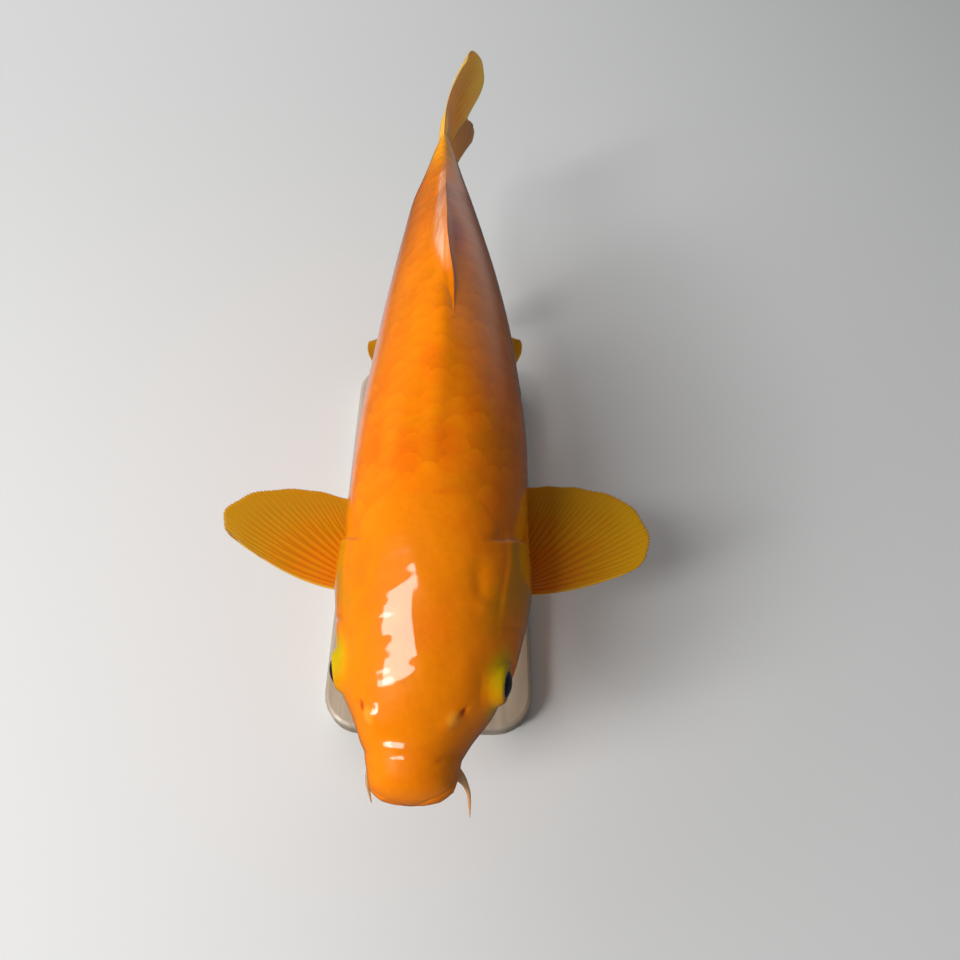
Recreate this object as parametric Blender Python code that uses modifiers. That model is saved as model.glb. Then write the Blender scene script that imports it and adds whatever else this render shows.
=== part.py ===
"""A koi carp at life size, held level on a plain display stand.

The fish faces -Y with its left side at +X. The origin is the centre of the
stand's underside. The body is one loft, parted by thin cuts into head, jaw,
gill covers, trunk and tail stalk. Each fin is a fan of rays with a thickness.
"""

import math

import bmesh
import bpy
from mathutils import Matrix, Vector

MM = 0.001
GAP = 0.3 * MM  # between neighbouring solids

# Driving dimensions of the fish, in metres
BODY_LENGTH = 0.360  # snout to the root of the tail fin
SNOUT_Y = -0.160
AXIS_Z = 0.106  # height of the line from the mouth to the tail root
RINGS = 39
RING_POINTS = 32
ROUNDNESS = 0.92  # power of the ring's sine and cosine; 1 gives an ellipse
KEEL = 0.14  # added to that power along the back, where the section is more like a roof
HEAD_ROLL = math.radians(7)  # the head leans towards -X and eases out by NECK
NECK = 170.0

# Bend of the spine: distance behind the snout and sideways place, in mm
SPINE = [
    (0, -1.0),
    (20, -0.4),
    (38, 1.3),
    (55, 3.2),
    (80, 4.5),
    (140, 5.5),
    (190, 5.2),
    (230, 4.0),
    (270, 2.2),
    (310, 0.5),
    (360, 0.2),
]

# Distance behind the snout, half width, rise of the back, drop of the belly, in mm
STATIONS = [
    (0, 4.8, 4.2, 5.0),
    (2, 11.2, 8.5, 9.0),
    (6, 15.0, 12.8, 12.2),
    (14, 16.8, 18.0, 16.8),
    (22, 20.6, 22.6, 20.8),
    (32, 26.0, 27.2, 25.4),
    (45, 31.0, 32.4, 30.4),
    (60, 35.6, 38.6, 36.0),
    (80, 38.8, 46.2, 42.0),
    (105, 37.4, 53.0, 47.0),
    (140, 37.8, 58.6, 51.0),
    (172, 36.0, 60.0, 51.5),
    (205, 32.8, 57.2, 48.5),
    (240, 28.2, 49.6, 41.0),
    (275, 23.0, 38.4, 30.6),
    (305, 18.4, 27.6, 23.4),
    (332, 11.8, 22.6, 20.4),
    (360, 4.6, 22.6, 20.6),
]

# Cuts that part the body
GILL_CENTRE = (33.0, 2.0)  # mm behind the snout and above the axis
GILL_RADIUS = 70.0
COVER_CENTRE = (79.5, -1.0)
COVER_HALF = (23.0, 31.0)  # half length and half height of a gill cover
COVER_DEPTH = 23.0  # mm from the middle plane to the cover's inner face
STALK_START = 262.0
MOUTH_LINE = (0.0, -3.0)  # mm behind the snout and above the axis
MOUTH_SLOPE = math.radians(-21)
JAW_END = 25.0

# Eyes, in mm
EYE_RADIUS = 8.5
EYE_CENTRE = (24.8, 41.8, 10.0)
ORBIT_RISE = 2.4  # how far the skin swells round an eye
ORBIT_SIZE = (13.0, 11.0)  # half length and half height of the swelling

# Fins. Roots are (mm left of the spine, behind the snout, above the axis), rays are
# directions in the same axes, and lengths and pushes are (share of the root, mm), all
# from the leading edge to the trailing one. The pelvic fins are written for the left
# side, and the right one is their mirror image.
FIN_THICK = 1.2
TAIL_FIN_THICK = 1.4
PECTORAL_ROOT = ((88.0, -26.0), (103.0, -32.0))  # behind the snout and above the axis
PECTORAL_OFF = 1.2  # from the flank to the root
PECTORAL_POSES = {
    "left": {
        "side": 1,
        "rays": ((1.0, -0.10, 0.20), (0.16, 1.0, 0.04)),
        "lengths": [(0, 51), (0.1, 58), (0.28, 63), (0.5, 57), (0.8, 47), (1, 42)],
        "pushes": [(0, 12), (0.5, 6), (1, 0)],
    },
    "right": {
        "side": -1,
        "rays": ((-1.0, -0.10, 0.20), (-0.10, 1.0, 0.04)),
        "lengths": [(0, 60), (0.1, 66), (0.25, 66), (0.5, 52), (0.8, 36), (1, 29)],
        "pushes": [(0, 24), (0.5, 8), (1, 0)],
    },
}
PELVIC_ROOT = ((17, 189, -49.8), (13, 201, -50.4))
PELVIC_RAYS = ((0.50, 1.0, 0.02), (0.06, 1.0, -0.10))
PELVIC_LENGTHS = [(0, 62), (0.15, 70), (0.5, 64), (1, 36)]
MIDDLE_FINS = {
    "tail_fin_upper": {
        "roots": ((0, 361, 20), (0, 361, 0.6)),
        "rays": ((0.02, 1.0, 0.17), (0.20, 1.0, -0.04)),
        "lengths": [(0, 66), (0.12, 70), (0.3, 70), (0.5, 64), (0.75, 54), (1, 47)],
        "pushes": [(0, 12), (0.5, 16), (1, 4)],
    },
    "tail_fin_lower": {
        "roots": ((0, 361, -0.6), (0, 362, -18)),
        "rays": ((0.20, 1.0, -0.06), (0.20, 1.0, -0.20)),
        "lengths": [(0, 47), (0.25, 54), (0.6, 68), (0.88, 75), (1, 72)],
        "pushes": [(0, 4), (1, 4)],
    },
    "anal_fin": {
        "roots": ((0, 262, -34.5), (0, 290, -27.5)),
        "rays": ((0.03, 0.62, -0.78), (0.03, 1.0, -0.28)),
        "lengths": [(0, 40), (0.15, 42), (0.5, 32), (1, 20)],
        "pushes": [(0, 0), (1, 0)],
    },
}

# The folded back fin: where it starts, where it leaves the back, and its free tip
DORSAL_START, DORSAL_LIFT, DORSAL_TIP = 170.0, 272.0, 298.0
DORSAL_HEIGHTS = [(170, 0.6), (190, 2.2), (205, 4.4), (228, 7.4), (250, 7.6), (272, 5.6), (298, 1.8)]
DORSAL_HALF_THICK = [(170, 0.9), (182, 2.4), (205, 3.4), (250, 3.6), (285, 2.8), (298, 1.2)]

# Barbels on the left side: points from root to tip, and root radius, in mm
BARBELS = {
    "barbel_rear": ([(16.5, 10, -6), (17.8, 8, -9.5), (18.6, 5, -13.5), (18.4, -1, -20.5)], 1.2),
    "barbel_front": ([(15.4, 5, -1.5), (15.9, 4, -4), (15.2, 3.4, -7), (14.2, 3.2, -9.5)], 0.8),
}
BARBEL_TIP = 0.35

# Stand, in metres
BASE_SIZE = (0.104, 0.230, 0.012)
ROD_RADIUS = 0.0035
ROD_YS = (-0.046, 0.068)
ROD_DEPTH = 0.010  # how far a rod goes into the belly
COLLAR_RADIUS = 0.009
COLLAR_HEIGHT = 0.004
BASE_CORNER = 0.018
BASE_RIM = 0.002


def slopes(xs, ys):
    """Tangents of a curve that keeps the stations' rises and falls."""
    rates = [(b - a) / (d - c) for a, b, c, d in zip(ys, ys[1:], xs, xs[1:])]
    inner = [2 * p * q / (p + q) if p * q > 0 else 0.0 for p, q in zip(rates, rates[1:])]
    return [rates[0], *inner, rates[-1]]


def curve(xs, ys):
    """A smooth function through the points (xs, ys)."""
    tangents = slopes(xs, ys)

    def value(x):
        x = min(max(x, xs[0]), xs[-1])
        i = max(j for j in range(len(xs) - 1) if xs[j] <= x)
        span = xs[i + 1] - xs[i]
        t = (x - xs[i]) / span
        start = (1 + 2 * t) * (1 - t) ** 2 * ys[i] + t * (1 - t) ** 2 * span * tangents[i]
        end = t * t * (3 - 2 * t) * ys[i + 1] + t * t * (t - 1) * span * tangents[i + 1]
        return start + end

    return value


BEHIND, *WIDTH_RISE_DROP = zip(*STATIONS)
half_width, rise, drop = (curve(BEHIND, values) for values in WIDTH_RISE_DROP)
spine = curve(*zip(*SPINE))


def power(value, exponent):
    return math.copysign(abs(value) ** exponent, value)


def roll(behind):
    """How far the body leans towards -X."""
    share = min(max(behind / NECK, 0.0), 1.0)
    return HEAD_ROLL * (1 - share * share * (3 - 2 * share))


def place(x, behind, z):
    """A point in the world, from mm left of the spine, behind the snout and above the axis."""
    inside = min(max(behind, 1.0), BODY_LENGTH / MM - 1.0)
    slope = (spine(inside + 1.0) - spine(inside - 1.0)) / 2
    middle = Vector((spine(inside) + slope * (behind - inside), behind, 0.0))
    across = Vector((1.0, -slope, 0.0)).normalized()
    turn = roll(behind)
    point = middle + across * (x * math.cos(turn) - z * math.sin(turn))
    point.z += x * math.sin(turn) + z * math.cos(turn)
    return Vector((0.0, SNOUT_Y, AXIS_Z)) + point * MM


def bluntness(behind, up):
    """Shape of the ring: flatter flanks ahead, and a ridge along the back behind the neck."""
    share = min(max((behind - 120.0) / 60.0, 0.0), 1.0)
    return ROUNDNESS + (KEEL * share if up else 0.0)


def flank(behind, z):
    """Half width of the body at a height, in mm."""
    size, bend = (rise(behind), bluntness(behind, True)) if z > 0 else (drop(behind), ROUNDNESS)
    side = min(abs(z) / size, 1.0) ** (1 / bend)
    return half_width(behind) * math.sqrt(1 - side * side) ** bend


def skin_point(behind, angle):
    """A point on the body. Angle 0 is the left side and a quarter turn is the back."""
    side = math.sin(angle)
    bend = bluntness(behind, side > 0)
    x = half_width(behind) * power(math.cos(angle), bend)
    z = (rise(behind) if side > 0 else drop(behind)) * power(side, bend)
    swell = ORBIT_RISE * math.exp(
        -(((behind - EYE_CENTRE[1]) / ORBIT_SIZE[0]) ** 2) - ((z - EYE_CENTRE[2]) / ORBIT_SIZE[1]) ** 2
    )
    return place(x + power(math.cos(angle), 0.5) * swell, behind, z)


def collection(name):
    made = bpy.data.collections.new(name)
    bpy.context.scene.collection.children.link(made)
    return made


def paint(name, colour, roughness, metallic=0.0):
    material = bpy.data.materials.new(name)
    material.use_nodes = True
    shader = material.node_tree.nodes["Principled BSDF"]
    shader.inputs["Base Color"].default_value = (*colour, 1.0)
    shader.inputs["Roughness"].default_value = roughness
    shader.inputs["Metallic"].default_value = metallic
    return material


def put(name, mesh, material, location=(0.0, 0.0, 0.0)):
    item = bpy.data.objects.new(name, mesh)
    item.location = location
    mesh.materials.append(material)
    mesh.shade_smooth()
    mesh.set_sharp_from_angle(angle=math.radians(40))
    fish.objects.link(item)
    return item


def mesh_from(shape, name):
    bmesh.ops.recalc_face_normals(shape, faces=shape.faces)
    mesh = bpy.data.meshes.new(name)
    shape.to_mesh(mesh)
    shape.free()
    return mesh


def loft(name, sections):
    """A closed solid through a row of sections, which are lists of points."""
    shape = bmesh.new()
    rings = [[shape.verts.new(point) for point in section] for section in sections]
    count = len(rings[0])
    for ring, following in zip(rings, rings[1:]):
        for j in range(count):
            k = (j + 1) % count
            shape.faces.new((ring[j], ring[k], following[k], following[j]))
    shape.faces.new(rings[0])
    shape.faces.new(rings[-1])
    return mesh_from(shape, name)


def body_mesh():
    """The whole body, with its sections closer together at the snout."""
    angles = [math.tau * j / RING_POINTS for j in range(RING_POINTS)]
    places = (BODY_LENGTH / MM * (i / RINGS) ** 1.4 for i in range(RINGS + 1))
    return loft("body", [[skin_point(behind, angle) for angle in angles] for behind in places])


def cutter(name, mesh, location=(0.0, 0.0, 0.0)):
    item = bpy.data.objects.new(name, mesh)
    item.location = location
    item.hide_render = True
    item.display_type = "WIRE"
    cutters.objects.link(item)
    return item


def across_cylinder(name, centre, half_size, x_span=(-80.0, 80.0), points=56):
    """A cutter along X with an elliptical side outline. Sizes are in mm."""
    shape = bmesh.new()
    bmesh.ops.create_cone(
        shape, cap_ends=True, segments=points, radius1=1.0, radius2=1.0, depth=1.0
    )
    size = Matrix.Diagonal((half_size[0] * MM, half_size[1] * MM, (x_span[1] - x_span[0]) * MM, 1.0))
    turn = Matrix(((0, 0, 1, 0), (1, 0, 0, 0), (0, 1, 0, 0), (0, 0, 0, 1)))
    centre_x = (x_span[0] + x_span[1]) / 2
    move = Matrix.Translation(place(centre_x, centre[0], centre[1]))
    bmesh.ops.transform(shape, matrix=move @ turn @ size, verts=shape.verts)
    return cutter(name, mesh_from(shape, name))


def block(name, low, high, turn=0.0, pivot=(0.0, 0.0)):
    """A box cutter between two corners in mm, turned about X at a pivot."""
    shape = bmesh.new()
    bmesh.ops.create_cube(shape, size=1.0)
    size = Matrix.Diagonal((*[(b - a) * MM for a, b in zip(low, high)], 1.0))
    middle = Matrix.Translation(place(*[(a + b) / 2 for a, b in zip(low, high)]))
    at = Matrix.Translation(place(0.0, *pivot))
    spin = at @ Matrix.Rotation(turn, 4, "X") @ at.inverted()
    bmesh.ops.transform(shape, matrix=spin @ middle @ size, verts=shape.verts)
    return cutter(name, mesh_from(shape, name))


def ball(name, radius):
    """A sphere round the origin with its poles along X."""
    shape = bmesh.new()
    bmesh.ops.create_uvsphere(shape, u_segments=18, v_segments=12, radius=radius)
    turn = Matrix.Rotation(math.radians(90), 4, "Y")
    bmesh.ops.transform(shape, matrix=turn, verts=shape.verts)
    return mesh_from(shape, name)


def upright(name, length, radius):
    """A round bar of a length standing on the origin."""
    shape = bmesh.new()
    bmesh.ops.create_cone(
        shape, cap_ends=True, segments=24, radius1=radius, radius2=radius, depth=length
    )
    bmesh.ops.translate(shape, vec=(0.0, 0.0, length / 2), verts=shape.verts)
    return mesh_from(shape, name)


def cut(item, operation, *tools):
    for tool in tools:
        modifier = item.modifiers.new(tool.name, "BOOLEAN")
        modifier.operation = operation
        modifier.object = tool


def mouth_wedge(name, grow):
    """What lies under the mouth line and ahead of the jaw's corner."""
    return block(
        name,
        (-60.0, -30.0, -60.0),
        (60.0, JAW_END + grow, MOUTH_LINE[1] + grow),
        MOUTH_SLOPE,
        MOUTH_LINE,
    )


def eye_place(side):
    x, behind, z = EYE_CENTRE
    return place(side * x, behind, z)


def body_parts():
    """The head, jaw, gill covers, trunk and tail stalk, cut from one loft."""
    gap = GAP / MM
    whole = body_mesh()
    gills = across_cylinder("gill_cut", GILL_CENTRE, (GILL_RADIUS, GILL_RADIUS))
    past_gills = across_cylinder(
        "gill_cut_wide", GILL_CENTRE, (GILL_RADIUS + gap, GILL_RADIUS + gap)
    )
    stalk_box = block("stalk_cut", (-80, STALK_START, -90), (80, 420, 90))
    past_stalk = block("stalk_cut_wide", (-80, STALK_START - gap, -90), (80, 420, 90))
    jaw_wedge, past_jaw = mouth_wedge("jaw_cut", -gap), mouth_wedge("jaw_cut_wide", 0.0)

    head = put("head", whole.copy(), flesh)
    cut(head, "INTERSECT", gills)
    cut(head, "DIFFERENCE", past_jaw)
    jaw = put("jaw", whole.copy(), flesh)
    cut(jaw, "INTERSECT", jaw_wedge)
    trunk = put("trunk", whole.copy(), flesh)
    cut(trunk, "DIFFERENCE", past_gills, past_stalk)
    stalk = put("tail_stalk", whole.copy(), flesh)
    cut(stalk, "INTERSECT", stalk_box)

    for word, side in (("left", 1), ("right", -1)):
        socket = ball(f"eye_socket_{word}", EYE_RADIUS * MM + GAP)
        cut(head, "DIFFERENCE", cutter(f"eye_socket_{word}", socket, eye_place(side)))
        reach = sorted((side * COVER_DEPTH, side * 80.0))
        plate = across_cylinder(f"cover_cut_{word}", COVER_CENTRE, COVER_HALF, reach, 36)
        wide = [half + gap for half in COVER_HALF]
        deeper = sorted((side * (COVER_DEPTH - gap), side * 80.0))
        hole = across_cylinder(f"cover_hole_{word}", COVER_CENTRE, wide, deeper, 36)
        cover = put(f"gill_cover_{word}", whole.copy(), flesh)
        cut(cover, "INTERSECT", plate, gills)
        cut(head, "DIFFERENCE", hole)
    return trunk


def eyes():
    for word, side in (("left", 1), ("right", -1)):
        put(f"eye_{word}", ball(f"eye_{word}", EYE_RADIUS * MM), eye_gloss, eye_place(side))


def fin(name, roots, rays, lengths, pushes, push_way, grid, thick=FIN_THICK):
    """A fan of rays from a root line, thickened. A push bends the rays' ends along push_way.

    Grid is the count of faces across the fan and along its rays.
    """
    reach, push = curve(*zip(*lengths)), curve(*zip(*pushes))
    start, end = (Vector(root) for root in roots)
    first, last = (Vector(ray).normalized() for ray in rays)
    across, along = grid
    shape = bmesh.new()
    rows = []
    for i in range(across + 1):
        u = i / across
        root, ray = start.lerp(end, u), first.slerp(last, u)
        spots = []
        for v in (j / along for j in range(along + 1)):
            point = root + ray * reach(u) * v + Vector(push_way) * push(u) * v * v
            spots.append(shape.verts.new(place(*point)))
        rows.append(spots)
    for row, following in zip(rows, rows[1:]):
        for j in range(along):
            shape.faces.new((row[j], row[j + 1], following[j + 1], following[j]))
    shell = put(name, mesh_from(shape, name), fin_web).modifiers.new("Thickness", "SOLIDIFY")
    shell.thickness = thick * MM
    shell.offset = 0.0
    shell.use_even_offset = True


def paired_fins():
    for word, pose in PECTORAL_POSES.items():
        side = pose["side"]
        roots = [(side * (flank(*spot) + PECTORAL_OFF), *spot) for spot in PECTORAL_ROOT]
        shape = pose["rays"], pose["lengths"], pose["pushes"]
        fin(f"pectoral_fin_{word}", roots, *shape, (0, 1, 0), (14, 7))
        roots, rays = ([(side * x, y, z) for x, y, z in row] for row in (PELVIC_ROOT, PELVIC_RAYS))
        fin(f"pelvic_fin_{word}", roots, rays, PELVIC_LENGTHS, [(0, 4), (1, 4)], (0, 0, 1), (10, 5))


def middle_fins():
    for name, shape in MIDDLE_FINS.items():
        tail = name.startswith("tail")
        grid, thick = ((12, 7), TAIL_FIN_THICK) if tail else ((10, 5), FIN_THICK)
        fin(name, *shape.values(), (1, 0, 0), grid, thick)


def dorsal_fin():
    """The back fin, folded down along the back as a low keel that ends in a free tip."""
    height, half_thick = curve(*zip(*DORSAL_HEIGHTS)), curve(*zip(*DORSAL_HALF_THICK))
    outline = [(-1.0, 0.0), (-0.9, 0.45), (-0.45, 1.0), (0.45, 1.0), (0.9, 0.45), (1.0, 0.0)]
    steps = 26
    sections = []
    for i in range(steps + 1):
        behind = DORSAL_START + (DORSAL_TIP - DORSAL_START) * i / steps
        foot = rise(behind) + GAP / MM + max(0.0, behind - DORSAL_LIFT) * 0.16
        high, thick = height(behind), half_thick(behind)
        sections.append([place(thick * a, behind, foot + high * b) for a, b in outline])
    put("dorsal_fin", loft("dorsal_fin", sections), fin_web)


def feeler(name, points, radius):
    """A barbel: a tube through points in mm that tapers to its tip."""
    data = bpy.data.curves.new(name, "CURVE")
    data.dimensions = "3D"
    data.bevel_depth = MM
    data.bevel_resolution = 2
    data.resolution_u = 4
    data.use_fill_caps = True
    line = data.splines.new("NURBS")
    line.order_u = 3
    line.use_endpoint_u = True
    line.points.add(len(points) - 1)
    for i, (spot, point) in enumerate(zip(line.points, points)):
        spot.co = (*place(*point), 1.0)
        spot.radius = radius + (BARBEL_TIP - radius) * i / (len(points) - 1)
    data.materials.append(feeler_skin)
    fish.objects.link(bpy.data.objects.new(name, data))


def barbels():
    for word, side in (("left", 1), ("right", -1)):
        for name, (points, radius) in BARBELS.items():
            feeler(f"{name}_{word}", [(side * x, y, z) for x, y, z in points], radius)


def stand_base():
    shape = bmesh.new()
    bmesh.ops.create_cube(shape, size=1.0)
    bmesh.ops.scale(shape, vec=BASE_SIZE, verts=shape.verts)
    bmesh.ops.translate(shape, vec=(0.0, 0.0, BASE_SIZE[2] / 2), verts=shape.verts)
    corners = [e for e in shape.edges if abs(e.verts[0].co.z - e.verts[1].co.z) > BASE_SIZE[2] / 2]
    bmesh.ops.bevel(
        shape, geom=corners, offset=BASE_CORNER, segments=6, affect="EDGES", profile=0.5
    )
    rim = [e for e in shape.edges if min(v.co.z for v in e.verts) > BASE_SIZE[2] * 0.99]
    bmesh.ops.bevel(shape, geom=rim, offset=BASE_RIM, segments=2, affect="EDGES", profile=0.5)
    put("stand_base", mesh_from(shape, "stand_base"), stand_wood)


def stand(trunk):
    """The base and two rods, each on a collar and let into the belly."""
    stand_base()
    top = BASE_SIZE[2] + GAP
    foot = top + COLLAR_HEIGHT + GAP
    for word, y in zip(("front", "rear"), ROD_YS):
        behind = (y - SNOUT_Y) / MM
        x, _, belly = place(0.0, behind, -drop(behind))
        collar = upright(f"stand_collar_{word}", COLLAR_HEIGHT, COLLAR_RADIUS)
        put(f"stand_collar_{word}", collar, stand_steel, (x, y, top))
        rod = upright(f"stand_rod_{word}", belly + ROD_DEPTH - foot, ROD_RADIUS)
        put(f"stand_rod_{word}", rod, stand_steel, (x, y, foot))
        hole = upright(f"rod_hole_{word}", belly + ROD_DEPTH + GAP - foot, ROD_RADIUS + GAP)
        cut(trunk, "DIFFERENCE", cutter(f"rod_hole_{word}", hole, (x, y, foot)))


for item in list(bpy.data.objects):
    bpy.data.objects.remove(item)
fish = collection("koi_carp")
cutters = collection("cutters")
flesh = paint("flesh", (0.86, 0.33, 0.01), 0.28)
fin_web = paint("fin_web", (0.66, 0.31, 0.02), 0.32)
feeler_skin = paint("feeler_skin", (0.80, 0.42, 0.14), 0.35)
eye_gloss = paint("eye_gloss", (0.02, 0.02, 0.02), 0.06)
stand_wood = paint("stand_wood", (0.55, 0.52, 0.47), 0.5)
stand_steel = paint("stand_steel", (0.62, 0.62, 0.63), 0.3, 1.0)

stand(body_parts())
eyes()
paired_fins()
middle_fins()
dorsal_fin()
barbels()
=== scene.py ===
# %% [markdown]
# # A koi carp on a display stand
#
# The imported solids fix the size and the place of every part. This script puts the
# looks round them: one skin over all the flesh, a coat of overlapping scales, fins with
# branching rays, eyes, barbels, and the finishes of the stand.

# %% Load the frame and keep its box
import math

import bpy
import numpy as np
from mathutils import Matrix, Quaternion, Vector
from mathutils.bvhtree import BVHTree


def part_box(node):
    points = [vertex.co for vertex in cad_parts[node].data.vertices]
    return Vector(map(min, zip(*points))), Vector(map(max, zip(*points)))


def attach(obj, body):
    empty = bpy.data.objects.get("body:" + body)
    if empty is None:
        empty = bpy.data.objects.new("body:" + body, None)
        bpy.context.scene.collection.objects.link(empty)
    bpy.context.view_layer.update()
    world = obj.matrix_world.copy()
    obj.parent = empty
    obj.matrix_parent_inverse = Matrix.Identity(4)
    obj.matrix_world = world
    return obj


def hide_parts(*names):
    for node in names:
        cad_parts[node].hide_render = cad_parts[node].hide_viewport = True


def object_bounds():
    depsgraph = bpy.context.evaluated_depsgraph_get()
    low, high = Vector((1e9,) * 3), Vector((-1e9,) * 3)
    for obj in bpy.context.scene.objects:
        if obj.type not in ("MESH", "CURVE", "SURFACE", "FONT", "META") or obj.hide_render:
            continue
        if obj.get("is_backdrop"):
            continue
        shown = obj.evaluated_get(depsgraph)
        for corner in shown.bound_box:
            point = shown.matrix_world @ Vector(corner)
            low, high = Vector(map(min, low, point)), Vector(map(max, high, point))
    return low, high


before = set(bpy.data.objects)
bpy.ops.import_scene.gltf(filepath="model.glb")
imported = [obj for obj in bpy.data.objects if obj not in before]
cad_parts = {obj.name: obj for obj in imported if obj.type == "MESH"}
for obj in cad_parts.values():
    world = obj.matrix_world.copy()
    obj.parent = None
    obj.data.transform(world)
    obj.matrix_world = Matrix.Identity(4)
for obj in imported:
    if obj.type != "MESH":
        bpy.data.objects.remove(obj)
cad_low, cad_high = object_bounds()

MM = 0.001


def in_mm(vector):
    return [round(s / MM, 1) for s in vector]


print("CAD nodes:", len(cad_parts), "CAD size in mm:", in_mm(cad_high - cad_low))

# %% [markdown]
# ## Small tools
#
# Operators act on the whole selection, so every new primitive is made with nothing else
# selected. The shapes of a fish are soft fields, so three helpers come up all the time:
# a smooth curve through a few stations, a smooth step and a rounded bump.

# %% Selection, primitives and points


def select_only(*items):
    bpy.ops.object.select_all(action="DESELECT")
    for item in items:
        item.select_set(True)
        bpy.context.view_layer.objects.active = item


def add(name, operator, **settings):
    """A new primitive, alone in the selection."""
    select_only()
    operator(**settings)
    item = bpy.context.active_object
    item.name = name
    item.data.name = name
    return item


def into_scene(name, data):
    """An object round data that no operator made."""
    item = bpy.data.objects.new(name, data)
    bpy.context.scene.collection.objects.link(item)
    return item


def apply_modifier(item, name, kind, **settings):
    select_only(item)
    modifier = item.modifiers.new(name, kind)
    for key, value in settings.items():
        setattr(modifier, key, value)
    bpy.ops.object.modifier_apply(modifier=name)


def points_of(item, what="co"):
    """The place of each vertex, or its normal."""
    flat = np.empty(len(item.data.vertices) * 3)
    item.data.vertices.foreach_get(what, flat)
    return flat.reshape(-1, 3)


def move_points(item, points):
    item.data.vertices.foreach_set("co", np.asarray(points, float).ravel())
    item.data.update()


def keep_value(item, name, values):
    """An attribute of each vertex, which a material can read."""
    layer = item.data.attributes.new(name, "FLOAT", "POINT")
    layer.data.foreach_set("value", np.asarray(values, np.float32))


def finish_piece(item, material, slot, *nodes):
    """The piece gets its finish, rides with the model and stands for its CAD nodes."""
    item.data.materials.clear()
    item.data.materials.append(material)
    item.data.shade_smooth()
    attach(item, "root")
    if nodes:
        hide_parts(*nodes)
    item.data.calc_loop_triangles()
    print(f"{item.name}: {len(item.data.loop_triangles)} triangles, {in_mm(item.dimensions)} mm")


# %% Curves, steps and bumps


def curve(points):
    """A smooth function through (x, y) points that keeps their rises and falls."""
    xs, ys = (np.array(row, float) for row in zip(*points))
    rates = np.diff(ys) / np.diff(xs)
    before, after = rates[:-1], rates[1:]
    same = before * after > 0
    inner = np.where(same, 2 * before * after / np.where(same, before + after, 1.0), 0.0)
    tangents = np.concatenate((rates[:1], inner, rates[-1:]))

    def value(x):
        x = np.clip(x, xs[0], xs[-1])
        i = np.clip(np.searchsorted(xs, x, side="right") - 1, 0, len(xs) - 2)
        span = xs[i + 1] - xs[i]
        t = (x - xs[i]) / span
        start = (1 + 2 * t) * (1 - t) ** 2 * ys[i] + t * (1 - t) ** 2 * span * tangents[i]
        end = t * t * (3 - 2 * t) * ys[i + 1] + t * t * (t - 1) * span * tangents[i + 1]
        return start + end

    return value


def step(value, start, end):
    """0 at start, 1 at end, smooth between. Start may be the larger."""
    t = np.clip((value - start) / (end - start), 0.0, 1.0)
    return t * t * (3 - 2 * t)


def bump(distance, width):
    return np.exp(-((distance / width) ** 2))


def power(value, exponent):
    return np.sign(value) * np.abs(value) ** exponent


print("a step half way:", step(0.5, 0.0, 1.0), "and a bump at its width:", round(bump(1.0, 1.0), 3))

# %% [markdown]
# ## The body's line
#
# A fish's body is a row of rounded sections on a bent spine. The head also leans a few
# degrees. The eyes' boxes give the lean and the snout's box gives the start. The
# sections are then measured by looking at the solids from outside: left and right for
# the width, up for the back and down for the belly.

# %% Places along the body, in mm behind the snout
AXIS_Z = 106.0  # height of the line from the mouth to the tail
NECK = 170.0  # where the head's lean has eased out
ROUNDNESS = 0.92  # power of a section's sine and cosine; 1 gives an ellipse
KEEL = 0.20  # added along the back, where the section is like a roof
KEEL_START, KEEL_RUN = 120.0, 60.0  # where the keel begins, and mm until it is full
RIDGE = 1.0  # mm that the back falls away on both sides of its ridge line
RIDGE_WIDTH, RIDGE_REACH = 5.0, 22.0  # mm aside where it has fallen, and where it ends
STALK_SLIM = 0.45  # share of the width that the stalk loses at its end
STALK_ROUND = 11.0  # mm over which the stalk's end is rounded, seen from the side
ORBIT_RISE = 2.4  # the swelling round an eye
ORBIT_SIZE = (13.0, 11.0)
FLESH = ("head", "jaw", "gill_cover_left", "gill_cover_right", "trunk", "tail_stalk")
BEND = (  # of the spine: mm behind the snout, and sideways
    (0, -1.0), (20, -0.4), (38, 1.3), (55, 3.2), (80, 4.5), (140, 5.5),
    (190, 5.2), (230, 4.0), (270, 2.2), (310, 0.5), (360, 0.2),
)

snout_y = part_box("head")[0].y / MM
body_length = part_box("tail_stalk")[1].y / MM - snout_y
eye_left, eye_right = (sum(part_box(f"eye_{word}"), Vector()) / 2 for word in ("left", "right"))
eye_radius = (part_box("eye_left")[1].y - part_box("eye_left")[0].y) / 2 / MM
eye_mid = (eye_left + eye_right) / 2 / MM
eye_behind = eye_mid.y - snout_y
eye_lean = math.atan2(eye_left.z - eye_right.z, eye_left.x - eye_right.x)
head_lean = eye_lean / (1 - step(eye_behind, 0.0, NECK))
eye_up = (eye_mid.z - AXIS_Z) / math.cos(eye_lean)
print(f"body {body_length:.1f} mm, eyes {eye_behind:.1f} mm behind and {eye_up:.1f} mm up,")
print(f"eye radius {eye_radius:.1f} mm, head leans {math.degrees(head_lean):.1f} degrees")

# %% The frame of the fish
spine = curve(BEND)


def place(x, behind, z):
    """World points from mm left of the spine, behind the snout and above the axis."""
    inside = np.clip(behind, 1.0, body_length - 1.0)
    slope = (spine(inside + 1.0) - spine(inside - 1.0)) / 2
    turn = head_lean * (1 - step(behind, 0.0, NECK))
    sideways = (x * np.cos(turn) - z * np.sin(turn)) / np.hypot(1.0, slope)
    across = spine(inside) + slope * (behind - inside) + sideways
    along = snout_y + behind - slope * sideways
    upward = AXIS_Z + x * np.sin(turn) + z * np.cos(turn)
    return np.stack(np.broadcast_arrays(across, along, upward), -1) * MM


def orbit_swell(behind, z):
    return ORBIT_RISE * bump(behind - eye_behind, ORBIT_SIZE[0]) * bump(z - eye_up, ORBIT_SIZE[1])


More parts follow.
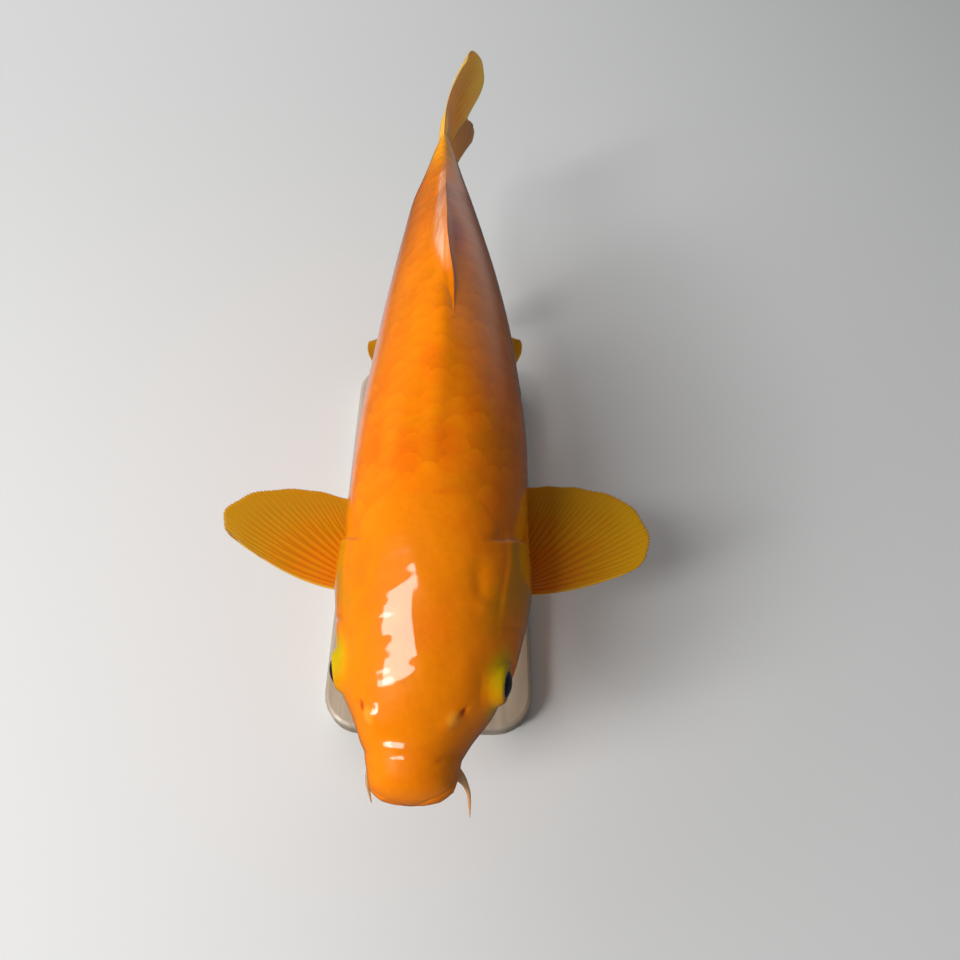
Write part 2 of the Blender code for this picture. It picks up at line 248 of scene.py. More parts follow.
print("the snout's tip is at", place(0.0, 0.0, 0.0).round(4))

# %% Measure the sections
OUTSIDE = 150.0  # mm from the axis to where a look starts
RING_PLACES = body_length * np.linspace(0, 1, 40) ** 1.4
PEEPS = ((0.0, 0.0), (0.8, 0.0), (-0.8, 0.0), (0.0, 4.5), (0.0, -4.5))  # past cuts and rod holes

flesh_points, flesh_faces = [], []
for name in FLESH:
    start = len(flesh_points)
    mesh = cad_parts[name].data
    flesh_points += [vertex.co for vertex in mesh.vertices]
    flesh_faces += [[start + i for i in face.vertices] for face in mesh.polygons]
flesh = BVHTree.FromPolygons(flesh_points, flesh_faces)


def reach(behind, x, z):
    """Mm from the axis to the flesh, looking back at the axis from a side."""
    best = 0.0
    peeps = PEEPS[:1] if behind < 30 else PEEPS[: 5 if x == 0 else 3]
    for shift, beside in peeps:
        origin = Vector(place(beside, behind + shift, 0.0))
        way = Vector(place(beside + x, behind + shift, z)) - origin
        hit = flesh.ray_cast(origin + way * OUTSIDE, -way)[0]
        if hit:
            best = max(best, (hit - origin).length / MM)
    return best


looks = [0.5, *RING_PLACES[1:-1], body_length - 0.3]
widths = [(reach(b, 1.0, 0.0) + reach(b, -1.0, 0.0)) / 2 - orbit_swell(b, 0.0) for b in looks]
half_width = curve(zip(RING_PLACES, widths))
rise, drop = (curve(zip(RING_PLACES, [reach(b, 0.0, z) for b in looks])) for z in (1.0, -1.0))
print("half widths in mm:", np.round(widths[::5], 1))

# %% A point and a normal on the body


def back_bend(behind):
    """The power of a section's upper half."""
    return ROUNDNESS + KEEL * np.clip((behind - KEEL_START) / KEEL_RUN, 0.0, 1.0)


def section(behind, angle):
    """Mm left and above on a ring. Angle 0 is the left side and a quarter turn is the back."""
    up = np.sin(angle) > 0
    bend = np.where(up, back_bend(behind), ROUNDNESS)
    slim = 1 - STALK_SLIM * step(behind, 342.0, 360.0)
    x = half_width(behind) * power(np.cos(angle), bend) * slim
    z = np.where(up, rise(behind), drop(behind)) * power(np.sin(angle), bend)
    past = np.clip((behind - body_length + STALK_ROUND) / STALK_ROUND, 0.0, 1.0)
    fall = RIDGE * (1 - bump(x, RIDGE_WIDTH)) * bump(x, RIDGE_REACH) * step(behind, 95.0, 130.0)
    z = z * np.sqrt(1 - 0.98 * past**2) - fall * up
    return x + power(np.cos(angle), 0.5) * orbit_swell(behind, z), z


def surface(behind, angle):
    x, z = section(behind, angle)
    return place(x, behind, z)


def outward(behind, angle):
    along = surface(behind + 0.4, angle) - surface(behind - 0.4, angle)
    around = surface(behind, angle + 0.01) - surface(behind, angle - 0.01)
    way = np.cross(along, around)
    return way / np.linalg.norm(way, axis=-1, keepdims=True)


back_top = surface(172.0, math.pi / 2)
print("top of the back:", np.round(back_top, 4), "normal", np.round(outward(172.0, 1.5), 2))

# %% [markdown]
# ## Tools for finishes
#
# Every finish is a node tree. One helper makes a node and feeds its inputs, one makes a
# material round a Principled shader, and one makes a node group. The short ones stand for
# nodes that come up all the time. The groups hold what several finishes share: a soft spot
# at a place, fine wet grain and, further on, the fish's colours.

# %% Nodes, materials and groups


def connect(socket, value):
    """A plain value is set on a socket, and another node's output is linked to it."""
    if isinstance(value, bpy.types.NodeSocket):
        socket.id_data.links.new(value, socket)
    else:
        socket.default_value = value


def node(tree, kind, inputs=None, **settings):
    """A shader node whose inputs are plain values or other nodes' outputs."""
    made = tree.nodes.new("ShaderNode" + kind)
    for key, value in settings.items():
        setattr(made, key, value)
    for key, value in (inputs or {}).items():
        connect(made.inputs[key], value)
    return made


def feed(shader, **values):
    """Each value goes to the shader's own socket of that name."""
    for key, value in values.items():
        connect(shader.inputs[key.replace("_", " ").title().replace("Ior", "IOR")], value)


def paint(name, **values):
    """A material, its tree and its Principled shader with values set on its sockets."""
    material = bpy.data.materials.new(name)
    material.use_nodes = True
    shader = material.node_tree.nodes["Principled BSDF"]
    feed(shader, **values)
    return material, material.node_tree, shader


def film(weight, roughness, ior):
    """The shader's coat as a film of water."""
    return {"coat_weight": weight, "coat_roughness": roughness, "coat_ior": ior}


def group(name, inputs, outputs):
    """An empty node group with named sockets."""
    tree = bpy.data.node_groups.new(name, "ShaderNodeTree")
    for label, kind, value in inputs:
        socket = tree.interface.new_socket(label, in_out="INPUT", socket_type="NodeSocket" + kind)
        socket.default_value = value
    for label, kind in outputs:
        tree.interface.new_socket(label, in_out="OUTPUT", socket_type="NodeSocket" + kind)
    return tree, tree.nodes.new("NodeGroupInput").outputs, tree.nodes.new("NodeGroupOutput").inputs


# %% The nodes that come up all the time


def blend(tree, factor, first, second, kind="MIX"):
    """The colour of a mix of two colours."""
    mixed = node(tree, "Mix", data_type="RGBA", blend_type=kind, clamp_factor=True)
    for index, value in ((0, factor), (6, first), (7, second)):
        connect(mixed.inputs[index], (*value, 1.0) if isinstance(value, tuple) else value)
    return mixed.outputs[2]


def calc(tree, operation, *values):
    """The result of a Math node."""
    return node(tree, "Math", dict(enumerate(values)), operation=operation).outputs[0]


def ramp(tree, value, start, end, low=0.0, high=1.0):
    """A smooth step of a value."""
    inputs = {"Value": value, "From Min": start, "From Max": end, "To Min": low, "To Max": high}
    return node(tree, "MapRange", inputs, interpolation_type="SMOOTHSTEP").outputs["Result"]


def object_place(tree, stretch=None):
    """The place on the piece, which can be stretched for a pattern that runs one way."""
    spot = node(tree, "TexCoord").outputs["Object"]
    if stretch:
        spot = node(tree, "Mapping", {"Vector": spot, "Scale": stretch}).outputs["Vector"]
    return spot


def noise(tree, where, scale, detail, **more):
    inputs = {"Vector": where, "Scale": scale, "Detail": detail, **more}
    return node(tree, "TexNoise", inputs).outputs["Fac"]


def kept(tree, name):
    """A value that keep_value has stored on the piece."""
    return node(tree, "Attribute", attribute_name=name).outputs["Fac"]


def use(tree, group_tree, inputs):
    return node(tree, "Group", node_tree=group_tree, inputs=inputs)


def relief(tree, strength, distance, height):
    """The normal of a surface that a height raises."""
    inputs = {"Strength": strength, "Distance": distance, "Height": height}
    return node(tree, "Bump", inputs).outputs["Normal"]


# %% A soft spot, and wet grain
spot_group, given, result = group(
    "soft_spot",
    (
        ("Place", "Vector", (0.0, 0.0, 0.0)),
        ("Centre", "Vector", (0.0, 0.0, 0.0)),
        ("Size", "Vector", (0.01, 0.01, 0.01)),
        ("Edge", "Float", 0.5),
    ),
    (("Mask", "Float"),),
)
shares = given["Place"]
for operation, other in (("SUBTRACT", "Centre"), ("DIVIDE", "Size")):
    inputs = {0: shares, 1: given[other]}
    shares = node(spot_group, "VectorMath", inputs, operation=operation).outputs[0]
distance = node(spot_group, "VectorMath", {0: shares}, operation="LENGTH").outputs["Value"]
inner_edge = calc(spot_group, "SUBTRACT", 1.0, given["Edge"])
connect(result["Mask"], ramp(spot_group, distance, 1.0, inner_edge))

grain_group, given, result = group(
    "wet_grain",
    (("Scale", "Float", 900.0), ("Strength", "Float", 0.15)),
    (("Height", "Float"), ("Normal", "Vector")),
)
fine = noise(grain_group, object_place(grain_group), given["Scale"], 3.0)
waves = noise(grain_group, object_place(grain_group), 140.0, 2.0)
height = calc(grain_group, "MULTIPLY_ADD", waves, 1.6, fine)
connect(result["Height"], height)
connect(result["Normal"], relief(grain_group, given["Strength"], 0.0003, height))
print("groups:", [made.name for made in bpy.data.node_groups])

# %% [markdown]
# ## Camera, floor and light
#
# The fish is seen from above its snout, so the head is large and the tail far away. A
# wet fish shows what it mirrors as much as its colours, so two narrow soft boxes on the
# left are there to be mirrored: they give the long bright patch on the head and the small
# bars on the snout. Two wide ones only light the fish, from the left and from behind, and
# leave its right side in shade. The floor is pale but isn't mirrored, and the surroundings
# are pale to look at and dim when mirrored, or a grey haze would lie over the orange. Two
# soft glows stand for the pale things that real skin mirrors low beside the body.

# %% Camera
CAMERA_PLACE = Vector((0.01405, snout_y * MM - 0.02965, (AXIS_Z + 261.75) * MM))
CAMERA_RIGHT = Vector((0.99942, 0.00368, 0.03379)).normalized()
CAMERA_VIEW = Vector((0.02689, 0.52237, -0.85229))

camera_data = bpy.data.cameras.new("camera")
camera_data.lens = 26.25
camera_data.sensor_width = 36.0
camera_data.clip_start = 0.01
camera = into_scene("camera", camera_data)
back = -(CAMERA_VIEW - CAMERA_RIGHT * CAMERA_VIEW.dot(CAMERA_RIGHT)).normalized()
facing = Matrix((CAMERA_RIGHT, back.cross(CAMERA_RIGHT), back)).transposed().to_4x4()
camera.matrix_world = Matrix.Translation(CAMERA_PLACE) @ facing
bpy.context.scene.camera = camera
print("camera looks down", round(math.degrees(math.asin(-CAMERA_VIEW.z)), 1), "degrees")

# %% Floor
floor = add("floor", bpy.ops.mesh.primitive_plane_add, size=6.0, location=(0.0, 0.0, -0.0002))
pale_floor = paint("pale_floor", base_color=(0.72, 0.72, 0.71, 1.0), roughness=0.85)[0]
floor.data.materials.append(pale_floor)
floor.visible_glossy = False
floor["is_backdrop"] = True
print(floor.name, "is finished in", pale_floor.name)

# %% Soft boxes
SOFT_BOXES = {  # way from the head, distance, size, watts, roll in degrees, and if it is mirrored
    "soft_box_left": ((-0.569, -0.367, 0.736), 1.1, (0.22, 0.66), 8.4, -26, True),
    "soft_box_low": ((-0.739, -0.417, 0.53), 1.1, (0.42, 0.10), 2.6, 61, True),
    "soft_box_side": ((-0.93, 0.10, 0.34), 1.6, (2.6, 1.1), 12.5, 0, False),
    "soft_box_back": ((-0.30, 0.85, 0.45), 1.7, (1.4, 0.6), 8.5, 0, False),
}
head_top = Vector(surface(58.0, math.pi / 2))
for name, (way, distance, size, watts, roll, mirrored) in SOFT_BOXES.items():
    data = bpy.data.lights.new(name, "AREA")
    data.shape = "RECTANGLE"
    data.size, data.size_y = size
    data.energy = watts
    lamp = into_scene(name, data)
    lamp.location = head_top + Vector(way).normalized() * distance
    roll_turn = Quaternion((0.0, 0.0, 1.0), math.radians(roll))
    lamp.rotation_euler = (Vector(way).to_track_quat("Z", "Y") @ roll_turn).to_euler()
    lamp.visible_glossy = mirrored
    print(f"{name}: {watts} W at {[round(c, 2) for c in lamp.location]}")

# %% Surroundings
WORLD_LIGHT = 0.14
WORLD_CHANGES = (("Is Camera Ray", 0.58), ("Is Glossy Ray", -0.08))  # pale to see, dim mirrored
GLOWS = (  # way, cosines where a glow starts and is full, and strength
    ((0.42, 0.90, 0.11), 0.78, 0.95, 0.34),  # mirrored by the rear of the left flank
    ((-0.24, 0.52, -0.82), 0.90, 0.98, 0.45),  # and low on the right flank
)
world = bpy.data.worlds.new("studio")
bpy.context.scene.world = world
bpy.context.scene.view_settings.view_transform = "Standard"
world.use_nodes = True
sky = world.node_tree
rays = node(sky, "LightPath").outputs
way_out = node(sky, "TexCoord").outputs["Generated"]
strength = WORLD_LIGHT
for kind, change in WORLD_CHANGES:
    strength = calc(sky, "MULTIPLY_ADD", rays[kind], change, strength)
for way, start, full, glow in GLOWS:
    inputs = {0: way_out, 1: Vector(way).normalized()}
    toward = node(sky, "VectorMath", inputs, operation="DOT_PRODUCT").outputs["Value"]
    glowing = ramp(sky, toward, start, full, 0.0, glow)
    strength = calc(sky, "MULTIPLY_ADD", rays["Is Glossy Ray"], glowing, strength)
connect(sky.nodes["Background"].inputs["Color"], (0.90, 0.94, 1.0, 1.0))
connect(sky.nodes["Background"].inputs["Strength"], strength)
print("the surroundings have", len(GLOWS), "glows")

# %% [markdown]
# ## The colours of the fish
#
# The fish is orange all over, but no two places are the same. The back is a deep orange
# with redder clouds, the belly and the tail root are paler and yellower, the gill covers
# are olive gold, and a yellow-green patch sits over each eye. Dark red is painted shade:
# in the nostrils' pits, and in a line on the back where the folded back fin shades it.
# One group makes all this from the place on the fish, so that the skin and the scales
# carry the same markings.

# %% Patches of colour
DEEP_ORANGE = (0.88, 0.225, 0.0008)
RED_CLOUD = (0.82, 0.14, 0.0008)
GOLD = (0.86, 0.32, 0.0015)
BELLY = (0.92, 0.44, 0.05)
TAIL_GOLD = (1.0, 0.48, 0.02)
OLIVE_GOLD = (0.56, 0.235, 0.0008)
EYE_PATCH = (0.56, 0.42, 0.0008)
# painted dark red shade, for the nostrils' pits and the shadow beside the folded back fin
PAINTED_RED_SHADE = (0.52, 0.045, 0.006)
PALE_FLAP = (0.95, 0.42, 0.04)
# painted reflection: a pale pink sheen for the folded back fin
PAINTED_PINK_SHEEN = (0.95, 0.52, 0.32)
DARK_SPOT = (0.05, 0.008, 0.006)
MOUTH_SHADE = (0.30, 0.09, 0.006)

NOSTRILS = {1: (28.4, math.radians(43.5)), -1: (27.6, math.radians(130.5))}  # behind, and turn
FLAP_AHEAD = 2.9  # mm from a nostril's pit to its flap
FLAP_TURN = 0.11
FLAPS = {s: (b - FLAP_AHEAD, turn + s * FLAP_TURN) for s, (b, turn) in NOSTRILS.items()}


def fish_spots(places):
    """Mm left, behind and above of places on the body."""
    rings = [(b, section(b, turn)) for b, turn in places.values()]
    return [(float(x), b, float(z)) for b, (x, z) in rings]


# colour, strength, edge, size in mm, and places as (left, behind, above)
PATCHES = (
    (GOLD, 0.85, 0.8, (34, 66, 34), ((0, 360, 0),)),
    (TAIL_GOLD, 0.95, 0.8, (30, 66, 34), ((0, 364, 8),)),
    (RED_CLOUD, 0.75, 0.95, (9, 16, 9), ((-9, 108, 52), (5, 112, 54), (-22, 118, 45))),
    (RED_CLOUD, 0.55, 0.95, (8, 13, 8), ((14, 128, 55), (-4, 150, 59), (24, 100, 40))),
    # painted shadow on the back, beside the folded back fin's leaning blade
    (PAINTED_RED_SHADE, 0.75, 0.9, (6, 38, 9), ((6.5, 234, 49),)),
    (OLIVE_GOLD, 0.5, 0.9, (10, 16, 10), ((26, 62, 27), (-26, 62, 27))),
    (EYE_PATCH, 0.95, 0.95, (10.0, 14.0, 12.0), ((30, 43.0, 15.5), (-30, 43.0, 15.5))),
    (EYE_PATCH, 0.6, 0.95, (8, 12, 9), ((27.5, 35.5, 7), (-27.5, 35.5, 7))),
    (PALE_FLAP, 0.45, 0.7, (3.4, 4.4, 3.4), fish_spots(FLAPS)),
    # painted shade in the nostrils' pits
    (PAINTED_RED_SHADE, 0.9, 0.8, (1.6, 3.2, 1.8), fish_spots(NOSTRILS)),
    (DARK_SPOT, 0.8, 0.6, (1.1, 2.6, 1.3), ((5.6, 225.6, 51.9),)),
)
print(len(PATCHES), "kinds of patches")

# %% One group makes the colours
coat_group, given, result = group(
    "koi_colours", (("Tone", "Float", 0.5),), (("Color", "Color"), ("Cloud", "Float"))
)
where = object_place(coat_group)
height = node(coat_group, "SeparateXYZ", {"Vector": where}).outputs["Z"]
cloud = ramp(coat_group, noise(coat_group, where, 38.0, 4.0, Roughness=0.6), 0.42, 0.70)
colour = blend(coat_group, calc(coat_group, "MULTIPLY", cloud, 0.45), DEEP_ORANGE, RED_CLOUD)
under = ramp(coat_group, height, (AXIS_Z - 8) * MM, (AXIS_Z - 40) * MM)
colour = blend(coat_group, under, colour, BELLY)
for tint, strength, edge, size, places in PATCHES:
    for spot in places:
        inputs = {"Place": where, "Centre": place(*spot), "Size": Vector(size) * MM, "Edge": edge}
        mask = use(coat_group, spot_group, inputs).outputs["Mask"]
        share = calc(coat_group, "MULTIPLY", mask, strength)
        colour = blend(coat_group, share, colour, tint)
speckles = noise(coat_group, where, 420.0, 2.0)
light = calc(coat_group, "MULTIPLY_ADD", speckles, 0.16, 0.84)
light = calc(coat_group, "MULTIPLY_ADD", given["Tone"], 0.16, light)
grey = node(coat_group, "CombineColor", {0: light, 1: light, 2: light}).outputs[0]
connect(result["Color"], blend(coat_group, 1.0, colour, grey, "MULTIPLY"))
connect(result["Cloud"], cloud)
print("the colours' group has", len(coat_group.nodes), "nodes")

# %% [markdown]
# ## Skin and scale finishes
#
# Wet fish skin has two layers to the eye: coloured skin that is slightly soft, and a
# film of slime that mirrors the light. The film is the shader's coat, very smooth over a
# rougher base. A scale adds its own tone, a darker pocket at its root and a light rim.

# %% Skin and scales


def wet_fish(name, grain_scale, grain_strength):
    """A wet material with the fish's colours, and the colours' node."""
    material, tree, shader = paint(name, specular_ior_level=0.05, **film(1.0, 0.05, 1.34))
    colours = use(tree, coat_group, {"Tone": 0.5})
    grain = use(tree, grain_group, {"Scale": grain_scale, "Strength": grain_strength})
    rough = ramp(tree, colours.outputs["Cloud"], 0.0, 1.0, 0.30, 0.42)
    feed(shader, roughness=rough, normal=grain.outputs["Normal"])
    return material, tree, shader, colours


skin_finish, tree, shader, colours = wet_fish("wet_skin", 1100.0, 0.16)
on_cover = calc(tree, "MULTIPLY", kept(tree, "cover"), 0.75)
colour = blend(tree, on_cover, colours.outputs["Color"], OLIVE_GOLD)
feed(shader, base_color=blend(tree, kept(tree, "fold"), colour, MOUTH_SHADE))

scale_finish, tree, shader, colours = wet_fish("wet_scales", 1500.0, 0.10)
connect(colours.inputs["Tone"], kept(tree, "tone"))
toward_edge = kept(tree, "toward_edge")
pocket = calc(tree, "MULTIPLY", ramp(tree, toward_edge, 0.80, 0.45), 0.30)
rim = calc(tree, "MULTIPLY", ramp(tree, toward_edge, 0.90, 1.0), 0.15)
colour = blend(tree, pocket, colours.outputs["Color"], RED_CLOUD)
feed(shader, base_color=blend(tree, rim, colour, GOLD))
print("finishes:", skin_finish.name, scale_finish.name)

# %% [markdown]
# ## The skin
#
# On the real fish the skin runs without a seam from the lips over the head, cheeks and
# gill covers to the tail. A sphere has the right make-up for it: one pole becomes the
# snout's tip and the other the tail's root, and its rings become sections. The rings lie
# close together on the head, where the folds are. First every point goes to the body's
# surface, then it moves in or out by the relief: lips, folds, gill covers, and the dip
# behind them where the scales begin.

# %% Reliefs that run along curves, in mm
HEAD_DEPTH = 0.15  # the bare skin lies this far inside the solids
COAT_DEPTH = 0.46  # and this far where scales cover it
MOUTH_TILT = 0.38
GILL_BACK = 94.0
GILL_STEP = 1.5
NAPE = 92.0
TEMPLE = 84.0  # where the scales begin between a gill cover and the nape
THROAT = 66.0


def gill_edge(z):
    """The gill cover's rear edge, behind the snout, at a height."""
    return GILL_BACK - np.where(z > -2, 0.0075, 0.020) * (z + 2) ** 2


def gill_relief(behind, z):
    """A dip behind the gill cover, a soft rim on it, and the groove of the cheek."""
    past = behind - gill_edge(z)
    fade = step(z, 41.0, 35.0) * step(z, -44.0, -36.0)
    dip = -GILL_STEP * step(past, -0.4, 0.5) * step(past, 11.0, 1.5)
    rim = -0.28 * bump(past + 3.2, 0.9) + 0.10 * bump(past + 1.2, 0.9)
    groove = behind - 61.0 + 0.012 * (z - 4) ** 2
    cheek = -0.42 * bump(groove, 1.3) * step(z, 26, 20) * step(z, -32, -24)
    return (dip + rim) * fade + cheek


def scales_from(z):
    """Where the scales begin, behind the snout, at a height."""
    top = TEMPLE + (NAPE - TEMPLE) * step(z, 36.0, 47.0)
    return np.maximum(np.where(z < 36, gill_edge(z) + 1.2, top), THROAT)


def above_slit(behind, z):
    return z + 3.0 + MOUTH_TILT * behind


def mouth_relief(behind, z):
    """Lips on both sides of the mouth's slit, and creases round them."""
    above = above_slit(behind, z)
    slit = -2.3 * bump(above, 0.65) * step(behind, 14.5, 11.0)
    upper = 0.35 * bump(above - 4.0, 2.6) - 0.45 * bump(above - 8.4, 0.8)
    lower = 0.35 * bump(above + 3.2, 1.9) - 0.65 * bump(above + 6.6, 0.9) - 1.0 * step(above, 0.0, -1.6)
    return slit + (upper + lower) * step(behind, 13.0, 8.5)


# %% Reliefs of the snout, the skull and the cheeks
snout_fold = curve(
    ((-9.0, 13.0), (-4.0, 15.6), (2.0, 16.6), (7.0, 16.0), (11.7, 13.8), (14.1, 10.9), (16.5, 6.5))
)
cover_top = curve(((46.0, 18.0), (56.0, 24.0), (67.0, 28.5), (79.0, 31.5), (90.0, 34.0)))
jaw_line = curve(((16.0, -10.5), (30.0, -17.0), (48.0, -24.0), (66.0, -30.0)))


def snout_relief(behind, x, z):
    """The soft pad over the upper lip, the dip behind it and the fold at its sides."""
    on_top = step(z, 2.0, 10.0)
    pad = (1.5 * bump(behind - 5.5, 5.0) - 0.75 * bump(behind - 19.0, 5.5)) * on_top * bump(x, 12.0)
    crease = step(behind + 0.12 * x, 14.3, 16.9) * step(behind, 22.0, 17.5) * bump(x + 2.0, 10.0)
    front_crease = step(behind, 11.9, 13.2) * step(behind, 15.0, 13.4) * bump(x - 1.0, 4.0)
    sides = step(np.abs(x), 8.5, 12.0) * step(z, -10.0, -6.0) * step(z, 16.0, 12.5)
    past_fold = behind - snout_fold(z)
    fold = -0.28 * bump(past_fold, 1.1) + 0.12 * bump(past_fold + 2.6, 1.6)
    wrinkles = -0.07 * np.abs(np.sin(1.35 * (behind + 0.4 * z))) * bump(behind - 11.0, 4.5)
    return pad - 0.34 * crease - 0.16 * front_crease + (fold + wrinkles) * sides


def skull_relief(behind, x, z):
    """What shows through the skin of the head: brow, temple, and slight lumps of the skull."""
    side = np.abs(x)
    brow = 0.5 * bump(behind - 38.0, 9.0) * bump(side - 19.0, 4.0) * step(z, 10.0, 18.0)
    temple = -0.85 * bump(behind - 67.0, 6.0) * bump(side - 20.5, 2.6)
    temple = temple + 0.50 * bump(behind - 60.5, 2.0) * bump(side - 22.0, 2.8)
    temple = temple + 0.30 * bump(behind - 69.0 - 0.9 * (side - 21.0), 1.0) * bump(side - 21.5, 2.6)
    rear = 0.30 * bump(behind - 84.0, 7.0) * bump(side - 15.0, 6.0)
    lumps = 0.10 * np.sin(0.31 * behind + 1.7 * np.sin(0.17 * x)) * np.sin(0.29 * x + 0.8)
    fine_lumps = 0.030 * np.sin(0.83 * behind + 0.4 * x) * np.sin(0.71 * x - 0.22 * behind)
    crown = step(z, 5.0, 20.0) * step(behind, 14.0, 30.0)
    return brow + (temple + rear) * step(z, 18.0, 26.0) + (lumps + fine_lumps) * crown


def cheek_relief(behind, z):
    """The top edge of the gill cover and the lower jaw's groove."""
    across = z - cover_top(behind)
    cover = -0.24 * bump(across - 0.9, 0.9) + 0.16 * bump(across + 1.5, 1.6)
    jaw = bump(z - jaw_line(behind), 1.1) * step(behind, 15.0, 20.0) * step(behind, 68.0, 58.0)
    return cover * step(behind, 50.0, 66.0) - 0.45 * jaw


def skin_relief(behind, angle):
    """Mm outward from the solids' surface to the skin, without eyes and nostrils."""
    x, z = section(behind, angle)
    coat = step(behind - scales_from(z), 0.5, 5.0)
    bare = mouth_relief(behind, z) + snout_relief(behind, x, z) + skull_relief(behind, x, z)
    bare = bare + cheek_relief(behind, z)
    return gill_relief(behind, z) + bare * (1 - coat) - HEAD_DEPTH - (COAT_DEPTH - HEAD_DEPTH) * coat


def off_surface(behind, angle, height):
    """Points that stand off the solids' surface by a height in mm."""
    return surface(behind, angle) + outward(behind, angle) * height[..., None] * MM


print("gill cover's edge at the eye's height:", round(float(gill_edge(eye_up)), 1), "mm behind")

# %% A sphere becomes the body
SKIN_ROUND = 240
SKIN_RINGS = 362
HEAD_SHARE = 0.73  # share of the rings ahead of the nape
HEAD_END = 100.0
CAP_RINGS = 8  # rings that close each end
SNOUT_DOME = 1.5  # mm that the closed front bulges ahead of its rim

sphere = bpy.ops.mesh.primitive_uv_sphere_add
skin = add("skin", sphere, segments=SKIN_ROUND, ring_count=SKIN_RINGS, radius=1.0)
ball = points_of(skin)
ring = np.rint(np.arccos(np.clip(ball[:, 2], -1, 1)) / math.pi * SKIN_RINGS)
turn = np.arctan2(ball[:, 1], ball[:, 0])
angle = turn - 0.2 * np.sin(2 * turn)  # closer together on the sides, where eyes and lips are
share = np.clip((ring - CAP_RINGS) / (SKIN_RINGS - 2 * CAP_RINGS), 0.0, 1.0)
on_head = SNOUT_DOME + (HEAD_END - SNOUT_DOME) * (np.minimum(share, HEAD_SHARE) / HEAD_SHARE) ** 1.6
past_head = np.maximum(share - HEAD_SHARE, 0.0) / (1 - HEAD_SHARE) * (body_length - HEAD_END)
behind = on_head + past_head
full = off_surface(behind, angle, skin_relief(behind, angle))
cap = np.clip(np.minimum(ring, SKIN_RINGS - ring) / CAP_RINGS, 0.0, 1.0)
dome = np.where(share > 0, 0.0, SNOUT_DOME * (1 - cap) ** 2)
closing = np.sqrt(1 - (1 - cap) ** 2)[:, None]
move_points(skin, place(0.0, behind - dome, -0.5) + (full - place(0.0, behind, -0.5)) * closing)
print(f"skin: {len(ball)} points, rings {np.diff(np.unique(behind)).min():.2f} mm apart at the closest")

# %% [markdown]
# Eyes and nostrils are shaped by the distance from their own centre. The skin dips
# behind each eyeball and comes up round it as a thin lid. A carp's nostril is a pit with a
# small flap of skin standing before it.

# %% Eye openings and nostrils
GAZE_UP = math.radians(5)
GAZE_AHEAD = math.radians(10)
LID = 5.5  # mm from the gaze line to the lid's edge


def gaze(side):
    """The way an eye looks. Side is 1 on the left and -1 on the right."""
    tilt = GAZE_UP + side * eye_lean
    flat = math.cos(tilt)
    return Vector((side * flat * math.cos(GAZE_AHEAD), -flat * math.sin(GAZE_AHEAD), math.sin(tilt)))


def off_line(points, centre, way):
    """Mm of points along a line through a centre, and off it."""
    offsets = (points - np.array(centre)) / MM
    along = offsets @ np.array(way)
    return along, np.linalg.norm(offsets - along[:, None] * np.array(way), axis=1)


def open_eye(points, centre, way):
    """Skin points round an eyeball, moved along the way that it looks."""
    out, off = off_line(points, centre, way)
    hidden = np.sqrt(np.clip((eye_radius - 1.1) ** 2 - off**2, 0.5, None))
    lid_height = math.sqrt(eye_radius**2 - LID**2) + 0.30
    lidded = out + (lid_height - out) * bump(np.maximum(off - LID, 0.0), 2.6)
    rolled = lidded + 0.28 * bump(off - LID - 0.9, 0.8) - 0.32 * bump(off - LID - 2.9, 0.9)
    wanted = hidden + (rolled - hidden) * step(off, LID - 0.75, LID + 0.05)
    moved = np.where((out > 0) & (off < 14.0), wanted - out, 0.0)
    return points + moved[:, None] * np.array(way) * MM


def pinch(points, normals, centre, along, sizes, height):
    """A round bump or pit: sizes are its half lengths along the body and across, in mm."""
    lengthwise, crosswise = off_line(points, centre, along)
    strength = bump(lengthwise, sizes[0]) * bump(crosswise, sizes[1])
    return points + normals * (strength * height * MM)[:, None]


print("the eyes look", np.round(gaze(1), 2), "and", np.round(gaze(-1), 2))

# %% Open the eyes and the nostrils
moved = points_of(skin)
normals = points_of(skin, "normal")
for side, eye in ((1, eye_left), (-1, eye_right)):
    moved = open_eye(moved, eye, gaze(side))
    pit = surface(*NOSTRILS[side])
    nostril_behind, nostril_turn = NOSTRILS[side]
    rear = surface(nostril_behind + 2.0, nostril_turn - 0.3 * side * FLAP_TURN)
    along = Vector(rear - pit).normalized()
    moved = pinch(moved, normals, surface(*FLAPS[side]), along, (4.2, 2.9), 1.05)
    moved = pinch(moved, normals, pit, along, (2.3, 0.75), -1.0)
move_points(skin, moved)
z = section(behind, angle)[1]
keep_value(skin, "fold", bump(above_slit(behind, z), 0.8) * step(behind, 14.0, 11.0))
top, edge = cover_top(behind), gill_edge(z)
on_cover = step(z, top, top - 1.5) * step(behind, edge - 0.2, edge - 1.6)
keep_value(skin, "cover", on_cover * step(behind, 55.0, 72.0) * step(z, -6.0, 8.0))
skin.data.uv_layers[0].name = "OFBake"
finish_piece(skin, skin_finish, "skin", *FLESH)

# %% [markdown]
# ## The scales
#
# A carp has about 37 scales in the row along its lateral line, with eight rows above and
# eight below. Each scale is a thin plate whose root sits in a pocket under the scales
# ahead and whose round rear edge lies free. One plate is modelled. It is then copied
# along every row, each row half a scale behind the next, and each plate is bent onto the
# skin. The plates climb a little towards their rear edges, as roof tiles do.

# %% Model one scale
PLATE = 0.07  # thickness in mm
CLIMB = 0.22  # how far a plate rises from its root to its edge
DOME = 0.05
EDGE_FALL = 0.06

